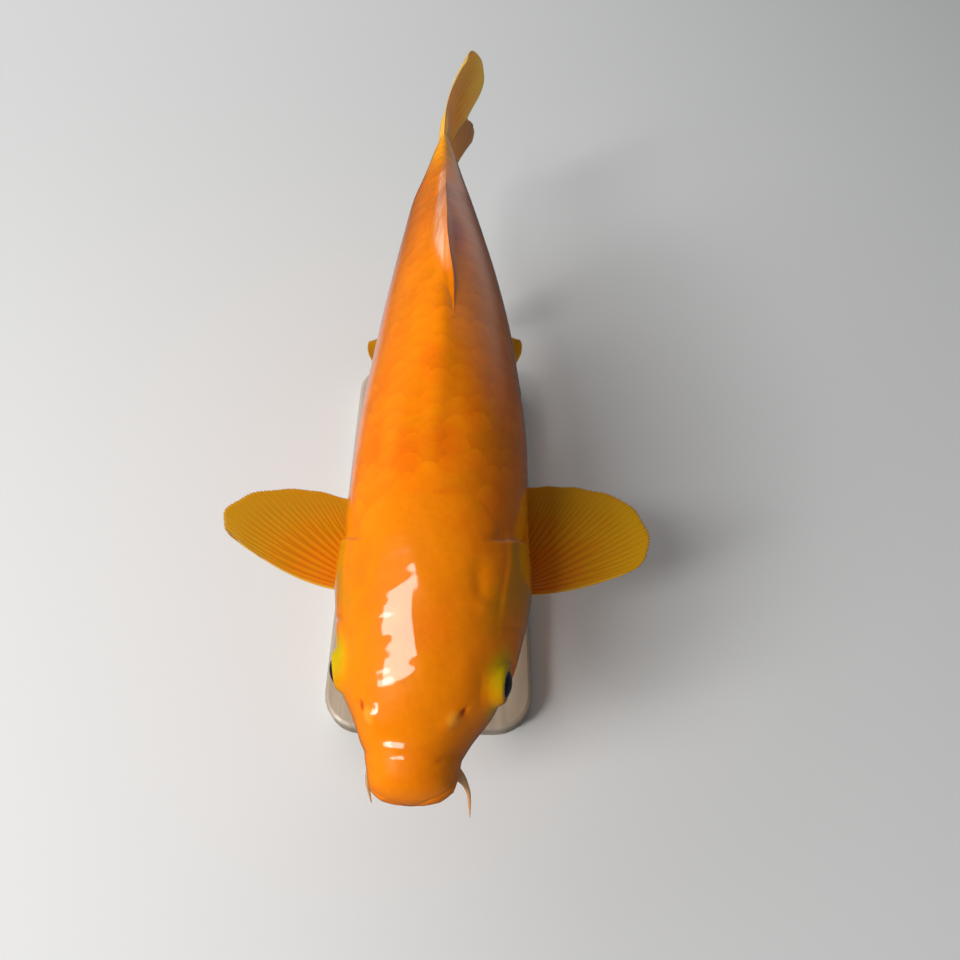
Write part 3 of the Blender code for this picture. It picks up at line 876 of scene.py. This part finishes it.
grid = bpy.ops.mesh.primitive_grid_add
plate = add("scale_plate", grid, x_subdivisions=8, y_subdivisions=4, size=2.0)
flat = points_of(plate)
across, toward = flat[:, 0].copy(), (flat[:, 1] + 1) / 2
flat[:, 0] = across * (0.58 + 0.42 * np.sin(np.clip(toward / 0.62, 0, 1) * math.pi / 2))
flat[:, 1] = toward * (1 - 0.46 * np.abs(across) ** 2.3)
flat[:, 2] = PLATE + CLIMB * flat[:, 1] + DOME * (1 - across**2) * toward
flat[:, 2] -= EDGE_FALL * step(toward, 0.7, 1.0)
move_points(plate, flat)

bpy.ops.object.mode_set(mode="EDIT")
bpy.ops.mesh.select_all(action="SELECT")
bpy.ops.mesh.region_to_loop()
bpy.ops.mesh.extrude_region_move(TRANSFORM_OT_translate={"value": (0.0, 0.0, -PLATE)})
bpy.ops.mesh.edge_face_add()
bpy.ops.mesh.select_all(action="SELECT")
bpy.ops.mesh.normals_make_consistent(inside=False)
bpy.ops.object.mode_set(mode="OBJECT")
plate_points = points_of(plate)
plate_faces = [list(face.vertices) for face in plate.data.polygons]
bpy.data.objects.remove(plate)
print(f"one scale: {len(plate_points)} points, {len(plate_faces)} faces")

# %% Rows: where an arc from the lateral line lies on the body
ROWS = 8
ROWS_NARROW = 172.0  # mm behind the snout where the rows begin to run out
TABLE_STEP = 1.5
TABLE_PLACES = np.arange(50.0, body_length + 3.0, TABLE_STEP)
TABLE_SHARES = np.linspace(-1.0, 1.0, 97)  # of the way to the belly (-1) and to the back (1)
lateral_height = curve(((60.0, 9.0), (100.0, 7.0), (150.0, 2.5), (220.0, 0.5), (360.0, 0.0)))

angle_rows, side_lengths = [], {-1: [], 1: []}
for behind_here in TABLE_PLACES:
    angles = np.linspace(-math.pi / 2, math.pi / 2, 361)
    x, z = section(np.full_like(angles, behind_here), angles)
    arcs = np.concatenate(((0.0,), np.cumsum(np.hypot(np.diff(x), np.diff(z)))))
    arcs -= np.interp(lateral_height(behind_here), z, arcs)
    wanted = TABLE_SHARES * np.where(TABLE_SHARES > 0, arcs[-1], -arcs[0])
    angle_rows.append(np.interp(wanted, arcs, angles))
    side_lengths[-1].append(-arcs[0])
    side_lengths[1].append(arcs[-1])
angle_rows = np.array(angle_rows)


def to_midline(up, behind):
    """Mm round the body from the lateral line to the back (up is 1) or the belly (-1)."""
    return np.interp(behind, TABLE_PLACES, side_lengths[up])


def angle_at(behind, arc, side):
    """The angle on the body of an arc from the lateral line, past the midlines too."""
    share = np.where(arc > 0, arc / to_midline(1, behind), arc / to_midline(-1, behind))
    over = np.abs(share) > 1
    share = np.where(over, np.sign(share) * 2 - share, share)
    last_row, last_column = (count - 1 for count in angle_rows.shape)
    row = np.clip((behind - TABLE_PLACES[0]) / TABLE_STEP, 0, last_row - 0.001)
    column = np.clip((share + 1) / 2 * last_column, 0, last_column - 0.001)
    i, j = row.astype(int), column.astype(int)
    u, v = row - i, column - j
    first = angle_rows[i, j] * (1 - v) + angle_rows[i, j + 1] * v
    second = angle_rows[i + 1, j] * (1 - v) + angle_rows[i + 1, j + 1] * v
    found = first * (1 - u) + second * u
    return np.where(np.where(over, -side, side) > 0, found, math.pi - found)


halves = [round(float(to_midline(up, ROWS_NARROW)), 1) for up in (1, -1)]
print("mm from the lateral line to the back and to the belly:", halves)

# %% Where the scales of a row lie
PITCH = curve(((60.0, 7.2), (150.0, 7.8), (250.0, 6.9), (360.0, 5.0)))  # from a scale to the next

column_places = [58.0]
while column_places[-1] < body_length - 5.0:
    column_places.append(column_places[-1] + float(PITCH(column_places[-1])))


def row_gap(up, behind):
    """Mm between rows: an eighth of the way ahead, and narrowing slowly behind."""
    whole, widest = to_midline(up, behind), to_midline(up, ROWS_NARROW)
    return np.where(behind < ROWS_NARROW, whole / ROWS, widest / ROWS * (whole / widest) ** 0.55)


def row_arc(row, behind):
    """The arc of a row's middle line from the lateral line. Rows 8 and -8 are the midlines."""
    up = 1 if row > 0 else -1
    if abs(row) == ROWS:
        return up * to_midline(up, behind)
    return row * row_gap(up, behind)


def roots_of(row):
    """Where the scales of a row have their roots: behind the snout, arc and gap to the next row."""
    up = 1 if row > 0 else -1
    for behind in column_places:
        start = behind + (float(PITCH(behind)) / 2 if row % 2 else 0.0)
        gap = float(row_gap(up, start))
        arc = float(row_arc(row, start))
        runs_out = abs(row) < ROWS and abs(arc) > to_midline(up, start) - 0.35 * gap
        z = section(start, angle_at(start, arc, 1))[1]
        if start < body_length - 6.0 and not runs_out and start > scales_from(z) - 3.0:
            yield start, arc, gap


print(len(column_places), "places for a scale along the body")

# %% Lay the scales in rows
LENGTH_IN_PITCHES = 1.8
HALF_WIDTH_IN_GAPS = 0.80
UNEVEN = 0.03  # share by which a scale's width and length differ from its neighbours'
SCALE_CRISP = math.radians(35)  # a scale's edge is steeper than this and stays crisp
MAP_PATCH = 0.0013  # half size of a scale on the map
dice = np.random.default_rng(11)


def lay_scales(name, rows, side):
    """One mesh of all the scales of some rows, each bent onto the skin."""
    corners, maps, tones, edges = [], [], [], []
    for row in rows:
        for start, arc, gap in roots_of(row):
            pitch = float(PITCH(start))
            width = HALF_WIDTH_IN_GAPS * gap * dice.uniform(1 - UNEVEN, 1 + UNEVEN)
            length = LENGTH_IN_PITCHES * pitch * dice.uniform(1 - UNEVEN, 1 + UNEVEN)
            skew = dice.uniform(-0.05, 0.05)
            across, toward, height = plate_points.T
            if row == 0:
                height = height + 0.20 * bump(across, 0.12) * step(toward, 0.45, 0.7)
            behind = np.minimum(start - 0.3 * pitch + toward * length, body_length + 1.5)
            arcs = row_arc(row, behind) + across * width + skew * toward * length
            angles = angle_at(behind, arcs, side)
            depth = gill_relief(behind, section(behind, angles)[1]) - COAT_DEPTH
            corners.append(off_surface(behind, angles, depth + height))
            root_turn = float(angle_at(start, arc, side)) / math.tau + 0.25
            spread = MAP_PATCH + 0.0002 * (height < plate_points[:, 2].mean())
            map_along = start / body_length + spread * (2 * toward - 1)
            maps.append(np.stack((root_turn % 1.0 + spread * across, map_along), -1))
            tones.append(np.full(len(across), dice.uniform(0.0, 1.0)))
            edges.append(toward)
    count = len(plate_points)
    faces = [[i + count * scale for i in face] for scale in range(len(corners)) for face in plate_faces]
    mesh = bpy.data.meshes.new(name)
    mesh.from_pydata(np.concatenate(corners).tolist(), [], faces)
    coat = into_scene(name, mesh)
    corner_points = np.empty(len(mesh.loops), int)
    mesh.loops.foreach_get("vertex_index", corner_points)
    spots = np.concatenate(maps)[corner_points]
    mesh.uv_layers.new(name="OFBake").uv.foreach_set("vector", spots.ravel())
    keep_value(coat, "tone", np.concatenate(tones))
    keep_value(coat, "toward_edge", np.concatenate(edges))
    print(f"{name}: {len(corners)} scales")
    return coat


for name, rows, side in (
    ("scales_left", range(1 - ROWS, ROWS), 1),
    ("scales_right", range(1 - ROWS, ROWS), -1),
    ("scales_midlines", (-ROWS, ROWS), 1),
):
    coat = lay_scales(name, rows, side)
    finish_piece(coat, scale_finish, "skin")
    select_only(coat)
    bpy.ops.object.shade_smooth_by_angle(angle=SCALE_CRISP)

# %% [markdown]
# ## The eyes
#
# A carp's eye is a ball set deep in the head. Only a round window of it shows, and that
# is nearly all pupil, with a dark bronze iris and a thin silver rim next to the lid. The
# lens stands a little out of the pupil. The finish reads the angle from the gaze line.

# %% Eye finish
PUPIL = (0.003, 0.003, 0.004)
SOCKET = (0.10, 0.05, 0.03)
eye_finish, tree, shader = paint("wet_eye", roughness=0.22, **film(1.0, 0.01, 1.38))
angle_off = kept(tree, "off_gaze")
streaks = noise(tree, object_place(tree), 1600.0, 2.0)
ragged = calc(tree, "MULTIPLY_ADD", streaks, 1.2, angle_off)
iris = blend(tree, streaks, (0.010, 0.007, 0.004), (0.05, 0.028, 0.010))
silver = blend(tree, streaks, (0.42, 0.40, 0.33), (0.80, 0.78, 0.68))
colour = blend(tree, ramp(tree, angle_off, 30.5, 32.0), PUPIL, iris)
colour = blend(tree, ramp(tree, ragged, 34.6, 35.6), colour, silver)
feed(shader, base_color=blend(tree, ramp(tree, ragged, 42.5, 45.0), colour, SOCKET))
print("finish:", eye_finish.name)

# %% Eyeballs
LENS_ANGLE = 31.0
for word, side, centre in (("left", 1, eye_left), ("right", -1, eye_right)):
    eyeball = add(f"eyeball_{word}", sphere, segments=80, ring_count=64, radius=1.0)
    ball = points_of(eyeball)
    off = np.degrees(np.arccos(np.clip(ball[:, 2], -1, 1)))
    lens = 0.22 * step(off, LENS_ANGLE + 3, LENS_ANGLE - 4)
    radius = eye_radius - 0.18 + lens - 0.10 * bump(off - 36.0, 2.2)
    turned = ball @ np.array(gaze(side).to_track_quat("Z", "Y").to_matrix()).T
    move_points(eyeball, np.array(centre) + turned * radius[:, None] * MM)
    keep_value(eyeball, "off_gaze", off)
    finish_piece(eyeball, eye_finish, "eye", f"eye_{word}")

# %% [markdown]
# ## The fins
#
# A fin is a fan of soft rays under a thin web. Each ray leaves the root thick, splits
# once and then again on its way out, and ends in a slightly ragged edge. A flat grid is
# bent onto each fan, and Solidify gives it a thickness that a vertex group varies: full
# on the rays, thin on the web, and a fleshy lobe where the fin leaves the body.

# %% Fin finish
SOFT_FLESH = {"subsurface_radius": (1.0, 0.45, 0.08), "subsurface_scale": 0.0012}


def ray_finish(name, web_colours, ray_colours, painted_lead_colour, painted_lead_width, glow=0.15):
    """A fin's finish. Web and ray colours go from the root to the edge. The band along the
    leading ray is a painted highlight on the side fins and the upper tail, and painted
    shade on the lower tail.
    """
    wet = film(0.6, 0.08, 1.34)
    material, tree, shader = paint(name, roughness=0.36, specular_ior_level=0.15, **wet)
    ray, toward_edge = kept(tree, "ray"), kept(tree, "toward_edge")
    mottle = noise(tree, object_place(tree), 120.0, 4.0)
    patchy = calc(tree, "SUBTRACT", mottle, 0.5)
    out = ramp(tree, calc(tree, "MULTIPLY_ADD", patchy, 0.5, toward_edge), 0.05, 0.95)
    web, rib = blend(tree, out, *web_colours), blend(tree, out, *ray_colours)
    colour = blend(tree, ramp(tree, ray, 0.25, 0.9), web, rib)
    # painted band along the leading ray
    lead = ramp(tree, kept(tree, "toward_lead"), 1 - painted_lead_width, 1.0, 0.0, 0.85)
    colour = blend(tree, lead, colour, painted_lead_colour)
    joints = calc(tree, "SINE", calc(tree, "MULTIPLY", toward_edge, 300.0))
    ribs = calc(tree, "MULTIPLY_ADD", calc(tree, "MULTIPLY", joints, ray), 0.25, mottle)
    thin = calc(tree, "MULTIPLY", ramp(tree, ray, 0.7, 0.1), ramp(tree, toward_edge, 0.35, 1.0))
    alpha = calc(tree, "MULTIPLY_ADD", thin, -0.16, 1.0)
    feed(shader, base_color=colour, normal=relief(tree, 0.35, 0.0002, ribs), alpha=alpha)
    feed(shader, subsurface_weight=glow, **SOFT_FLESH)
    print("finish:", name)
    return material


side_fin_finish = ray_finish(
    "wet_side_fin",
    ((0.74, 0.21, 0.001), (0.62, 0.32, 0.003)),
    ((0.64, 0.15, 0.001), (0.48, 0.225, 0.002)),
    # painted highlight along the leading ray
    (0.72, 0.42, 0.03),
    0.05,
)
tail_fin_finish = ray_finish(
    "wet_tail_fin",
    ((1.0, 0.47, 0.012), (1.0, 0.74, 0.16)),
    ((0.95, 0.42, 0.01), (0.90, 0.54, 0.08)),
    # painted highlight along the leading rays
    (1.0, 0.50, 0.10),
    0.26,
    glow=0.7,
)
# The lower lobe's copy is darker and browner towards its edge: painted shade under the tail.
shaded_lower_tail_finish = ray_finish(
    "wet_lower_tail_fin_shaded",
    ((1.0, 0.47, 0.012), (0.62, 0.36, 0.09)),
    ((0.95, 0.42, 0.01), (0.50, 0.26, 0.05)),
    # painted shade along its upper ray
    (0.60, 0.32, 0.06),
    0.10,
    glow=0.5,
)

# %% Rays that branch
RIB_ROOT, RIB_TIP = 1.15, 0.40  # thickness of a ray, in mm
WEB_ROOT, WEB_TIP = 0.55, 0.20
RAY_COLUMNS, RAY_STEPS = 12, 52  # faces across and along a ray


def ridge(u, v, rays):
    """1 on a ray and 0 on the web between, at a share across the fan and along its rays."""
    inside = u * rays - np.floor(np.clip(u * rays, 0, rays - 1e-6)) - 0.5
    first = 0.25 * step(v, 0.30, 0.78)
    second = 0.115 * step(v, 0.66, 1.0)
    width = 0.24 - 0.165 * step(v, 0.25, 0.95)
    branches = [bump(inside - a * first - b * second, width) for a in (-1, 1) for b in (-1, 1)]
    return np.max(branches, axis=0)


def turn_between(first, last, u):
    """Directions that turn evenly from the first ray to the last."""
    first, last = (np.array(ray) / np.linalg.norm(ray) for ray in (first, last))
    whole = math.acos(float(first @ last))
    turned = np.sin((1 - u) * whole)[:, None] * first + np.sin(u * whole)[:, None] * last
    return turned / math.sin(whole)


print("a ray's middle and the web beside it:", ridge(np.array((0.5, 0.0)), 0.0, 1).round(2))

# %% A fan of rays


def fan(fin_node, roots, rays, lengths, pushes, push_way, ray_count, finish, lobe=1.6, inside=0.07):
    """A fin from its root line, end rays, ray lengths and bend, in the fish's own mm.

    Lobe is the extra thickness at the root, and inside is a share of a ray that runs on
    into the body."""
    counts = {"x_subdivisions": RAY_COLUMNS * ray_count, "y_subdivisions": RAY_STEPS}
    fin = add(f"{fin_node}_rays", grid, size=1.0, **counts)
    flat = points_of(fin)
    u = flat[:, 0] + 0.5
    v = (flat[:, 1] + 0.5) * (1 + inside) - inside
    out = np.clip(v, 0, 1)
    rib = ridge(u, out, ray_count)
    tufts = 0.006 * np.sin(u * ray_count * 2.4) - 0.014 * (1 - rib)
    far = curve(lengths)(u) * (1 + tufts * step(out, 0.75, 1.0))
    root = np.array(roots[0]) * (1 - u[:, None]) + np.array(roots[1]) * u[:, None]
    push = (curve(pushes)(u) + 0.45 * np.sin(u * 9.0 + out * 4.0)) * out**2
    spots = root + turn_between(*rays, u) * (far * v)[:, None] + push[:, None] * np.array(push_way)
    move_points(fin, place(*spots.T))
    ribs = RIB_ROOT + (RIB_TIP - RIB_ROOT) * out
    webs = WEB_ROOT + (WEB_TIP - WEB_ROOT) * out
    at_root = step(out, 0.22, 0.0) * step(v, -inside, -0.6 * inside) * step(u * (1 - u), 0.0, 0.09)
    thickness = webs + (ribs - webs) * rib + lobe * at_root
    thickest = float(thickness.max())
    weights = fin.vertex_groups.new(name="thickness")
    for index, share in enumerate(thickness / thickest):
        weights.add((index,), float(share), "REPLACE")
    for name, values in (("ray", rib), ("toward_edge", out), ("toward_lead", 1 - u)):
        keep_value(fin, name, values)
    settings = {"thickness": thickest * MM, "offset": 0.0, "vertex_group": "thickness"}
    apply_modifier(fin, "Thickness", "SOLIDIFY", **settings)
    finish_piece(fin, finish, "fin", fin_node)
    beyond = Vector(points_of(fin).max(0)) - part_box(fin_node)[1]
    print("  beyond the solid's highest corner by mm", in_mm(beyond))


def flank(behind, z):
    """Half width of the body at a height below the axis."""
    side = (np.abs(z) / drop(behind)) ** (1 / ROUNDNESS)
    return float(half_width(behind) * np.sqrt(1 - side**2) ** ROUNDNESS)


print("half width at the pectoral fins:", round(flank(95.0, -29.0), 1), "mm")

# %% Pectoral and pelvic fins
PECTORAL_ROOT = ((88.0, -26.0), (103.0, -32.0))  # behind the snout and above the axis
PECTORAL_OFF = 1.2  # mm that the root stands off the flank
PECTORALS = {  # side, end rays, lengths and bend
    "left": (
        1,
        ((1.0, -0.10, 0.20), (0.16, 1.0, 0.04)),
        ((0, 48), (0.05, 54), (0.12, 59), (0.26, 62.5), (0.38, 61.5), (0.55, 55), (0.8, 47), (1, 42)),
        ((0, 12), (0.5, 6), (1, 0)),
    ),
    "right": (
        -1,
        ((-1.0, -0.10, 0.20), (-0.10, 1.0, 0.04)),
        ((0, 57), (0.05, 62), (0.1, 65.3), (0.18, 67), (0.28, 64.5), (0.5, 52), (0.8, 36), (1, 29)),
        ((0, 24), (0.5, 8), (1, 0)),
    ),
}
PELVIC_LENGTHS = ((0, 60), (0.06, 66), (0.15, 70), (0.3, 69.5), (0.5, 64), (0.8, 47), (1, 34))
PELVIC_BEND = ((0, 4), (1, 4))
for word, (side, rays, lengths, pushes) in PECTORALS.items():
    roots = [(side * (flank(*spot) + PECTORAL_OFF), *spot) for spot in PECTORAL_ROOT]
    fan(f"pectoral_fin_{word}", roots, rays, lengths, pushes, (0, 1, 0), 17, side_fin_finish, 2.6)
    roots = ((side * 17, 189, -49.8), (side * 13, 201, -50.4))
    rays = ((side * 0.50, 1.0, 0.02), (side * 0.06, 1.0, -0.10))
    shape = (roots, rays, PELVIC_LENGTHS, PELVIC_BEND, (0, 0, 1))
    fan(f"pelvic_fin_{word}", *shape, 9, side_fin_finish)

# %% Tail and anal fins
fan(
    "tail_fin_upper",
    ((0, 361, 23.6), (0, 361, -0.5)),
    ((0.02, 1.0, 0.115), (0.20, 1.0, -0.04)),
    (
        (0, 54), (0.03, 61), (0.07, 66), (0.13, 70.5), (0.22, 74),
        (0.34, 73.5), (0.5, 66), (0.75, 54), (1, 47),
    ),
    ((0, 12), (0.5, 16), (1, 4)),
    (1, 0, 0),
    10,
    tail_fin_finish,
    lobe=4.2,
    inside=0.20,
)
fan(
    "tail_fin_lower",
    ((0, 361, 0.5), (0, 362, -21.4)),
    ((0.20, 1.0, -0.035), (0.20, 1.0, -0.15)),
    ((0, 47), (0.2, 52), (0.4, 59.5), (0.6, 67.5), (0.78, 73), (0.9, 74.5), (0.96, 72), (1, 66)),
    ((0, 4), (1, 4)),
    (1, 0, 0),
    10,
    shaded_lower_tail_finish,
    lobe=4.2,
    inside=0.20,
)
fan(
    "anal_fin",
    ((0, 262, -34.5), (0, 290, -27.5)),
    ((0.03, 0.62, -0.78), (0.03, 1.0, -0.28)),
    ((0, 35), (0.06, 40), (0.15, 42), (0.3, 40), (0.5, 34), (0.75, 26), (0.93, 21), (1, 17)),
    ((0, 0), (1, 0)),
    (1, 0, 0),
    7,
    side_fin_finish,
)

# %% [markdown]
# The back fin is folded down and leans a little to the left. Its rays lie one behind
# another against the back, so it is a long low keel with slanting ribs, loose only at its
# rear tip. It is made as the skin is, from a sphere whose rings become sections. A section
# is a thin blade on a broad foot, and the foot's edges dip under the scales of the back.

# %% Sizes of the folded fin
DORSAL_START, DORSAL_LIFT, DORSAL_TIP = 170.0, 272.0, 298.0
DORSAL_RAY_GAP = 5.6  # mm between rays along the back
DORSAL_SLANT = 4.6  # mm back for each mm up
DORSAL_BLADE = 0.74  # share of the height that is blade, over the foot's share
FOOT_SINK = 0.6  # mm that the foot's edges dip under the scales
dorsal_height = curve(
    ((170, 0.1), (190, 0.9), (205, 3.0), (228, 6.8), (250, 7.3), (272, 5.8), (298, 2.6))
)
dorsal_spread = curve(((170, 2.5), (200, 7.0), (235, 7.0), (262, 4.6), (275, 3.0), (298, 2.4)))
dorsal_foot = curve(((170, 4.4), (190, 3.0), (210, 0.0), (224, -1.4), (260, -1.4), (298, -0.2)))
dorsal_crest = curve(((170, 4.6), (190, 4.2), (210, 2.2), (224, 1.4), (260, 1.4), (298, 2.0)))


def back_height(behind, x):
    """Mm above the axis of the back at a distance to the left of its ridge."""
    aside = np.clip(x / half_width(behind), -1.0, 1.0)
    return section(behind, np.arccos(power(aside, 1 / back_bend(behind))))[1]


foot_drop = float(rise(230.0) - back_height(230.0, 8.5))
print("the fin's foot is lower than the ridge by mm", round(foot_drop, 1))

# %% The folded fin's finish, with a painted pink sheen and a painted shadow
back_fin_finish, tree, shader, colours = wet_fish("wet_back_fin", 1500.0, 0.12)
red_ribs = calc(tree, "MULTIPLY", kept(tree, "ray"), 0.30)
colour = blend(tree, red_ribs, colours.outputs["Color"], RED_CLOUD)
# painted reflection: pale pink streaks of sheen on the blade's right face
streaks = noise(tree, object_place(tree, (700.0, 60.0, 700.0)), 1.0, 3.0)
streaky = ramp(tree, streaks, 0.38, 0.58, 0.30, 1.0)
pale = calc(tree, "MULTIPLY", kept(tree, "painted_sheen"), streaky)
colour = blend(tree, pale, colour, PAINTED_PINK_SHEEN)
# painted shadow: dark red under the leaning blade, on the foot's left side
dark = calc(tree, "MULTIPLY", kept(tree, "painted_blade_shadow"), 0.80)
feed(shader, base_color=blend(tree, dark, colour, PAINTED_RED_SHADE))
print("finish:", back_fin_finish.name)

# %% The folded fin
dorsal = add("dorsal_fin_folded", sphere, segments=96, ring_count=260, radius=1.0)
ball = points_of(dorsal)
share = np.arccos(np.clip(ball[:, 2], -1, 1)) / math.pi
turn = np.arctan2(ball[:, 1], ball[:, 0])
upper = np.sin(turn) > 0
behind = DORSAL_START + (DORSAL_TIP - DORSAL_START) * share
tall = dorsal_height(behind)
closing = np.sqrt(1 - np.clip(1 - np.minimum(share, 1 - share) * 36, 0, 1) ** 2)
aside = power(np.cos(turn), 1.8)  # from -1 at the right foot to 1 at the left one
off = np.abs(aside)
ray_place = (behind - DORSAL_SLANT * tall * (1 - off)) / DORSAL_RAY_GAP
rib = np.cos(ray_place * math.pi) ** 2 * step(off, 0.7, 0.2)
ragged = 1 + 0.05 * (ray_place % 1.0 - 0.5) * bump(aside, 0.1)
blade = DORSAL_BLADE * bump(aside, 0.13 + 0.035 * rib) * ragged
raised = tall * (blade + (1 - DORSAL_BLADE) * (1 - off) ** 2)
raised = raised - FOOT_SINK * (off**2 + step(behind, 194.0, 178.0))
lift = np.where(upper, raised, -FOOT_SINK - 0.8 * np.abs(np.sin(turn))) * closing
foot = dorsal_foot(behind) + dorsal_spread(behind) * aside * closing
leaning = (dorsal_crest(behind) - dorsal_foot(behind)) * np.where(upper, blade / DORSAL_BLADE, 0.0)
above = back_height(behind, foot) + lift + np.maximum(0.0, behind - DORSAL_LIFT) * 0.16
move_points(dorsal, place(foot + leaning, behind, above))
keep_value(dorsal, "ray", rib)
# where the painted sheen lies, on the blade's right face
pale = bump(aside + 0.20, 0.20) * step(behind, 194.0, 212.0)
keep_value(dorsal, "painted_sheen", pale * (0.65 + 0.35 * rib))
# where the painted shadow lies, on the foot's left side under the leaning blade
keep_value(dorsal, "painted_blade_shadow", bump(aside - 0.24, 0.16) * step(behind, 182.0, 205.0))
finish_piece(dorsal, back_fin_finish, "fin", "dorsal_fin")

# %% [markdown]
# ## The barbels
#
# A carp has two pairs of soft feelers at the corners of its mouth. A bevelled curve
# suits them: it takes a radius at every point, so that each barbel leaves the lip on a
# broad root and tapers to a rounded tip. The curve is turned into a mesh at the end.

# %% Barbel finish
wet = film(1.0, 0.06, 1.36)
barbel_finish, tree, shader = paint("wet_barbel", roughness=0.32, subsurface_weight=0.25, **wet)
mottle = noise(tree, object_place(tree), 500.0, 3.0)
colour = blend(tree, mottle, (0.76, 0.33, 0.08), (0.80, 0.50, 0.26))
grain = use(tree, grain_group, {"Scale": 1400.0, "Strength": 0.2})
feed(shader, base_color=colour, normal=grain.outputs["Normal"])
feed(shader, subsurface_radius=(1.0, 0.45, 0.15), subsurface_scale=0.0012)
print("finish:", barbel_finish.name)

# %% Barbels
BARBEL_POINTS = 30
RIGHT_SWEPT = 0.2  # mm that the right barbels lie further back for each mm from the axis
BARBELS = {  # knots on the left side, and the root's radius
    "barbel_rear": (
        ((14.0, 12, -3.5), (16.5, 10, -6), (17.8, 8, -9.5), (18.6, 5, -13.5), (18.4, -1, -20.5)),
        1.6,
    ),
    "barbel_front": (
        ((12.4, 6.8, 0), (13.5, 5.8, -1.5), (13.7, 5.4, -4), (13.2, 5.4, -7), (12.5, 5.6, -9.5)),
        0.9,
    ),
}


def barbel(node_name, knots, root_radius):
    """A tapered feeler through knots in the fish's own mm."""
    stations = np.linspace(0, 1, len(knots))
    ways = [curve(zip(stations, axis)) for axis in zip(*knots)]
    name = f"{node_name}_soft"
    data = bpy.data.curves.new(name, "CURVE")
    data.dimensions = "3D"
    data.bevel_depth = MM
    data.bevel_resolution = 4
    data.use_fill_caps = True
    line = data.splines.new("POLY")
    line.points.add(BARBEL_POINTS - 1)
    for spot, share in zip(line.points, np.linspace(0, 1, BARBEL_POINTS)):
        spot.co = (*place(*(way(share) for way in ways)), 1.0)
        taper = root_radius * (1 - 0.78 * share) + 0.8 * bump(share, 0.28)
        spot.radius = float(taper * math.sqrt(max(1 - share**16, 0.02)))
    select_only(into_scene(name, data))
    bpy.ops.object.convert(target="MESH")
    feeler = bpy.context.active_object
    apply_modifier(feeler, "Join caps", "WELD", merge_threshold=0.00002)
    finish_piece(feeler, barbel_finish, "barbel", node_name)


for word, side, swept in (("left", 1, 0.0), ("right", -1, RIGHT_SWEPT)):
    for kind, (knots, root_radius) in BARBELS.items():
        knots = [(side * x, y + swept * abs(z), z) for x, y, z in knots]
        barbel(f"{kind}_{word}", knots, root_radius)

# %% [markdown]
# ## The stand
#
# The stand's solids already have the right shape, so they stay and only get finishes:
# pale ash wood with a satin lacquer for the base, and brushed steel for the rods and
# their collars. Both patterns are noise stretched along one way.

# %% Stand finishes
wood_finish, tree, shader = paint("pale_ash", coat_weight=0.25, coat_roughness=0.25)
fibres = object_place(tree, (60.0, 5.0, 60.0))
grain = noise(tree, fibres, 1.0, 6.0, Distortion=0.6)
pores = noise(tree, fibres, 9.0, 3.0)
colour = blend(tree, ramp(tree, grain, 0.35, 0.65), (0.58, 0.50, 0.40), (0.40, 0.32, 0.235))
colour = blend(tree, ramp(tree, pores, 0.62, 0.72, 0.0, 0.35), colour, (0.26, 0.19, 0.13))
feed(shader, base_color=colour, roughness=ramp(tree, grain, 0.3, 0.7, 0.36, 0.50))
feed(shader, normal=relief(tree, 0.25, 0.0003, pores))

steel_finish, tree, shader = paint("brushed_steel", metallic=1.0)
lines = noise(tree, object_place(tree, (1.0, 1.0, 60.0)), 120.0, 4.0)
colour = blend(tree, lines, (0.50, 0.50, 0.51), (0.70, 0.70, 0.71))
feed(shader, base_color=colour, roughness=ramp(tree, lines, 0.3, 0.7, 0.22, 0.38))
for name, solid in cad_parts.items():
    if name.startswith("stand_"):
        solid.data.materials.clear()
        solid.data.materials.append(wood_finish if name == "stand_base" else steel_finish)
        print(name, "is finished in", solid.data.materials[0].name)

# %% [markdown]
# ## Sizes
#
# The looks are meant to stay inside the box of the solids, so both boxes are printed
# for comparison.

# %% Print the box of the looks
visual_low, visual_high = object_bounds()
print("visual size in mm:", in_mm(visual_high - visual_low))
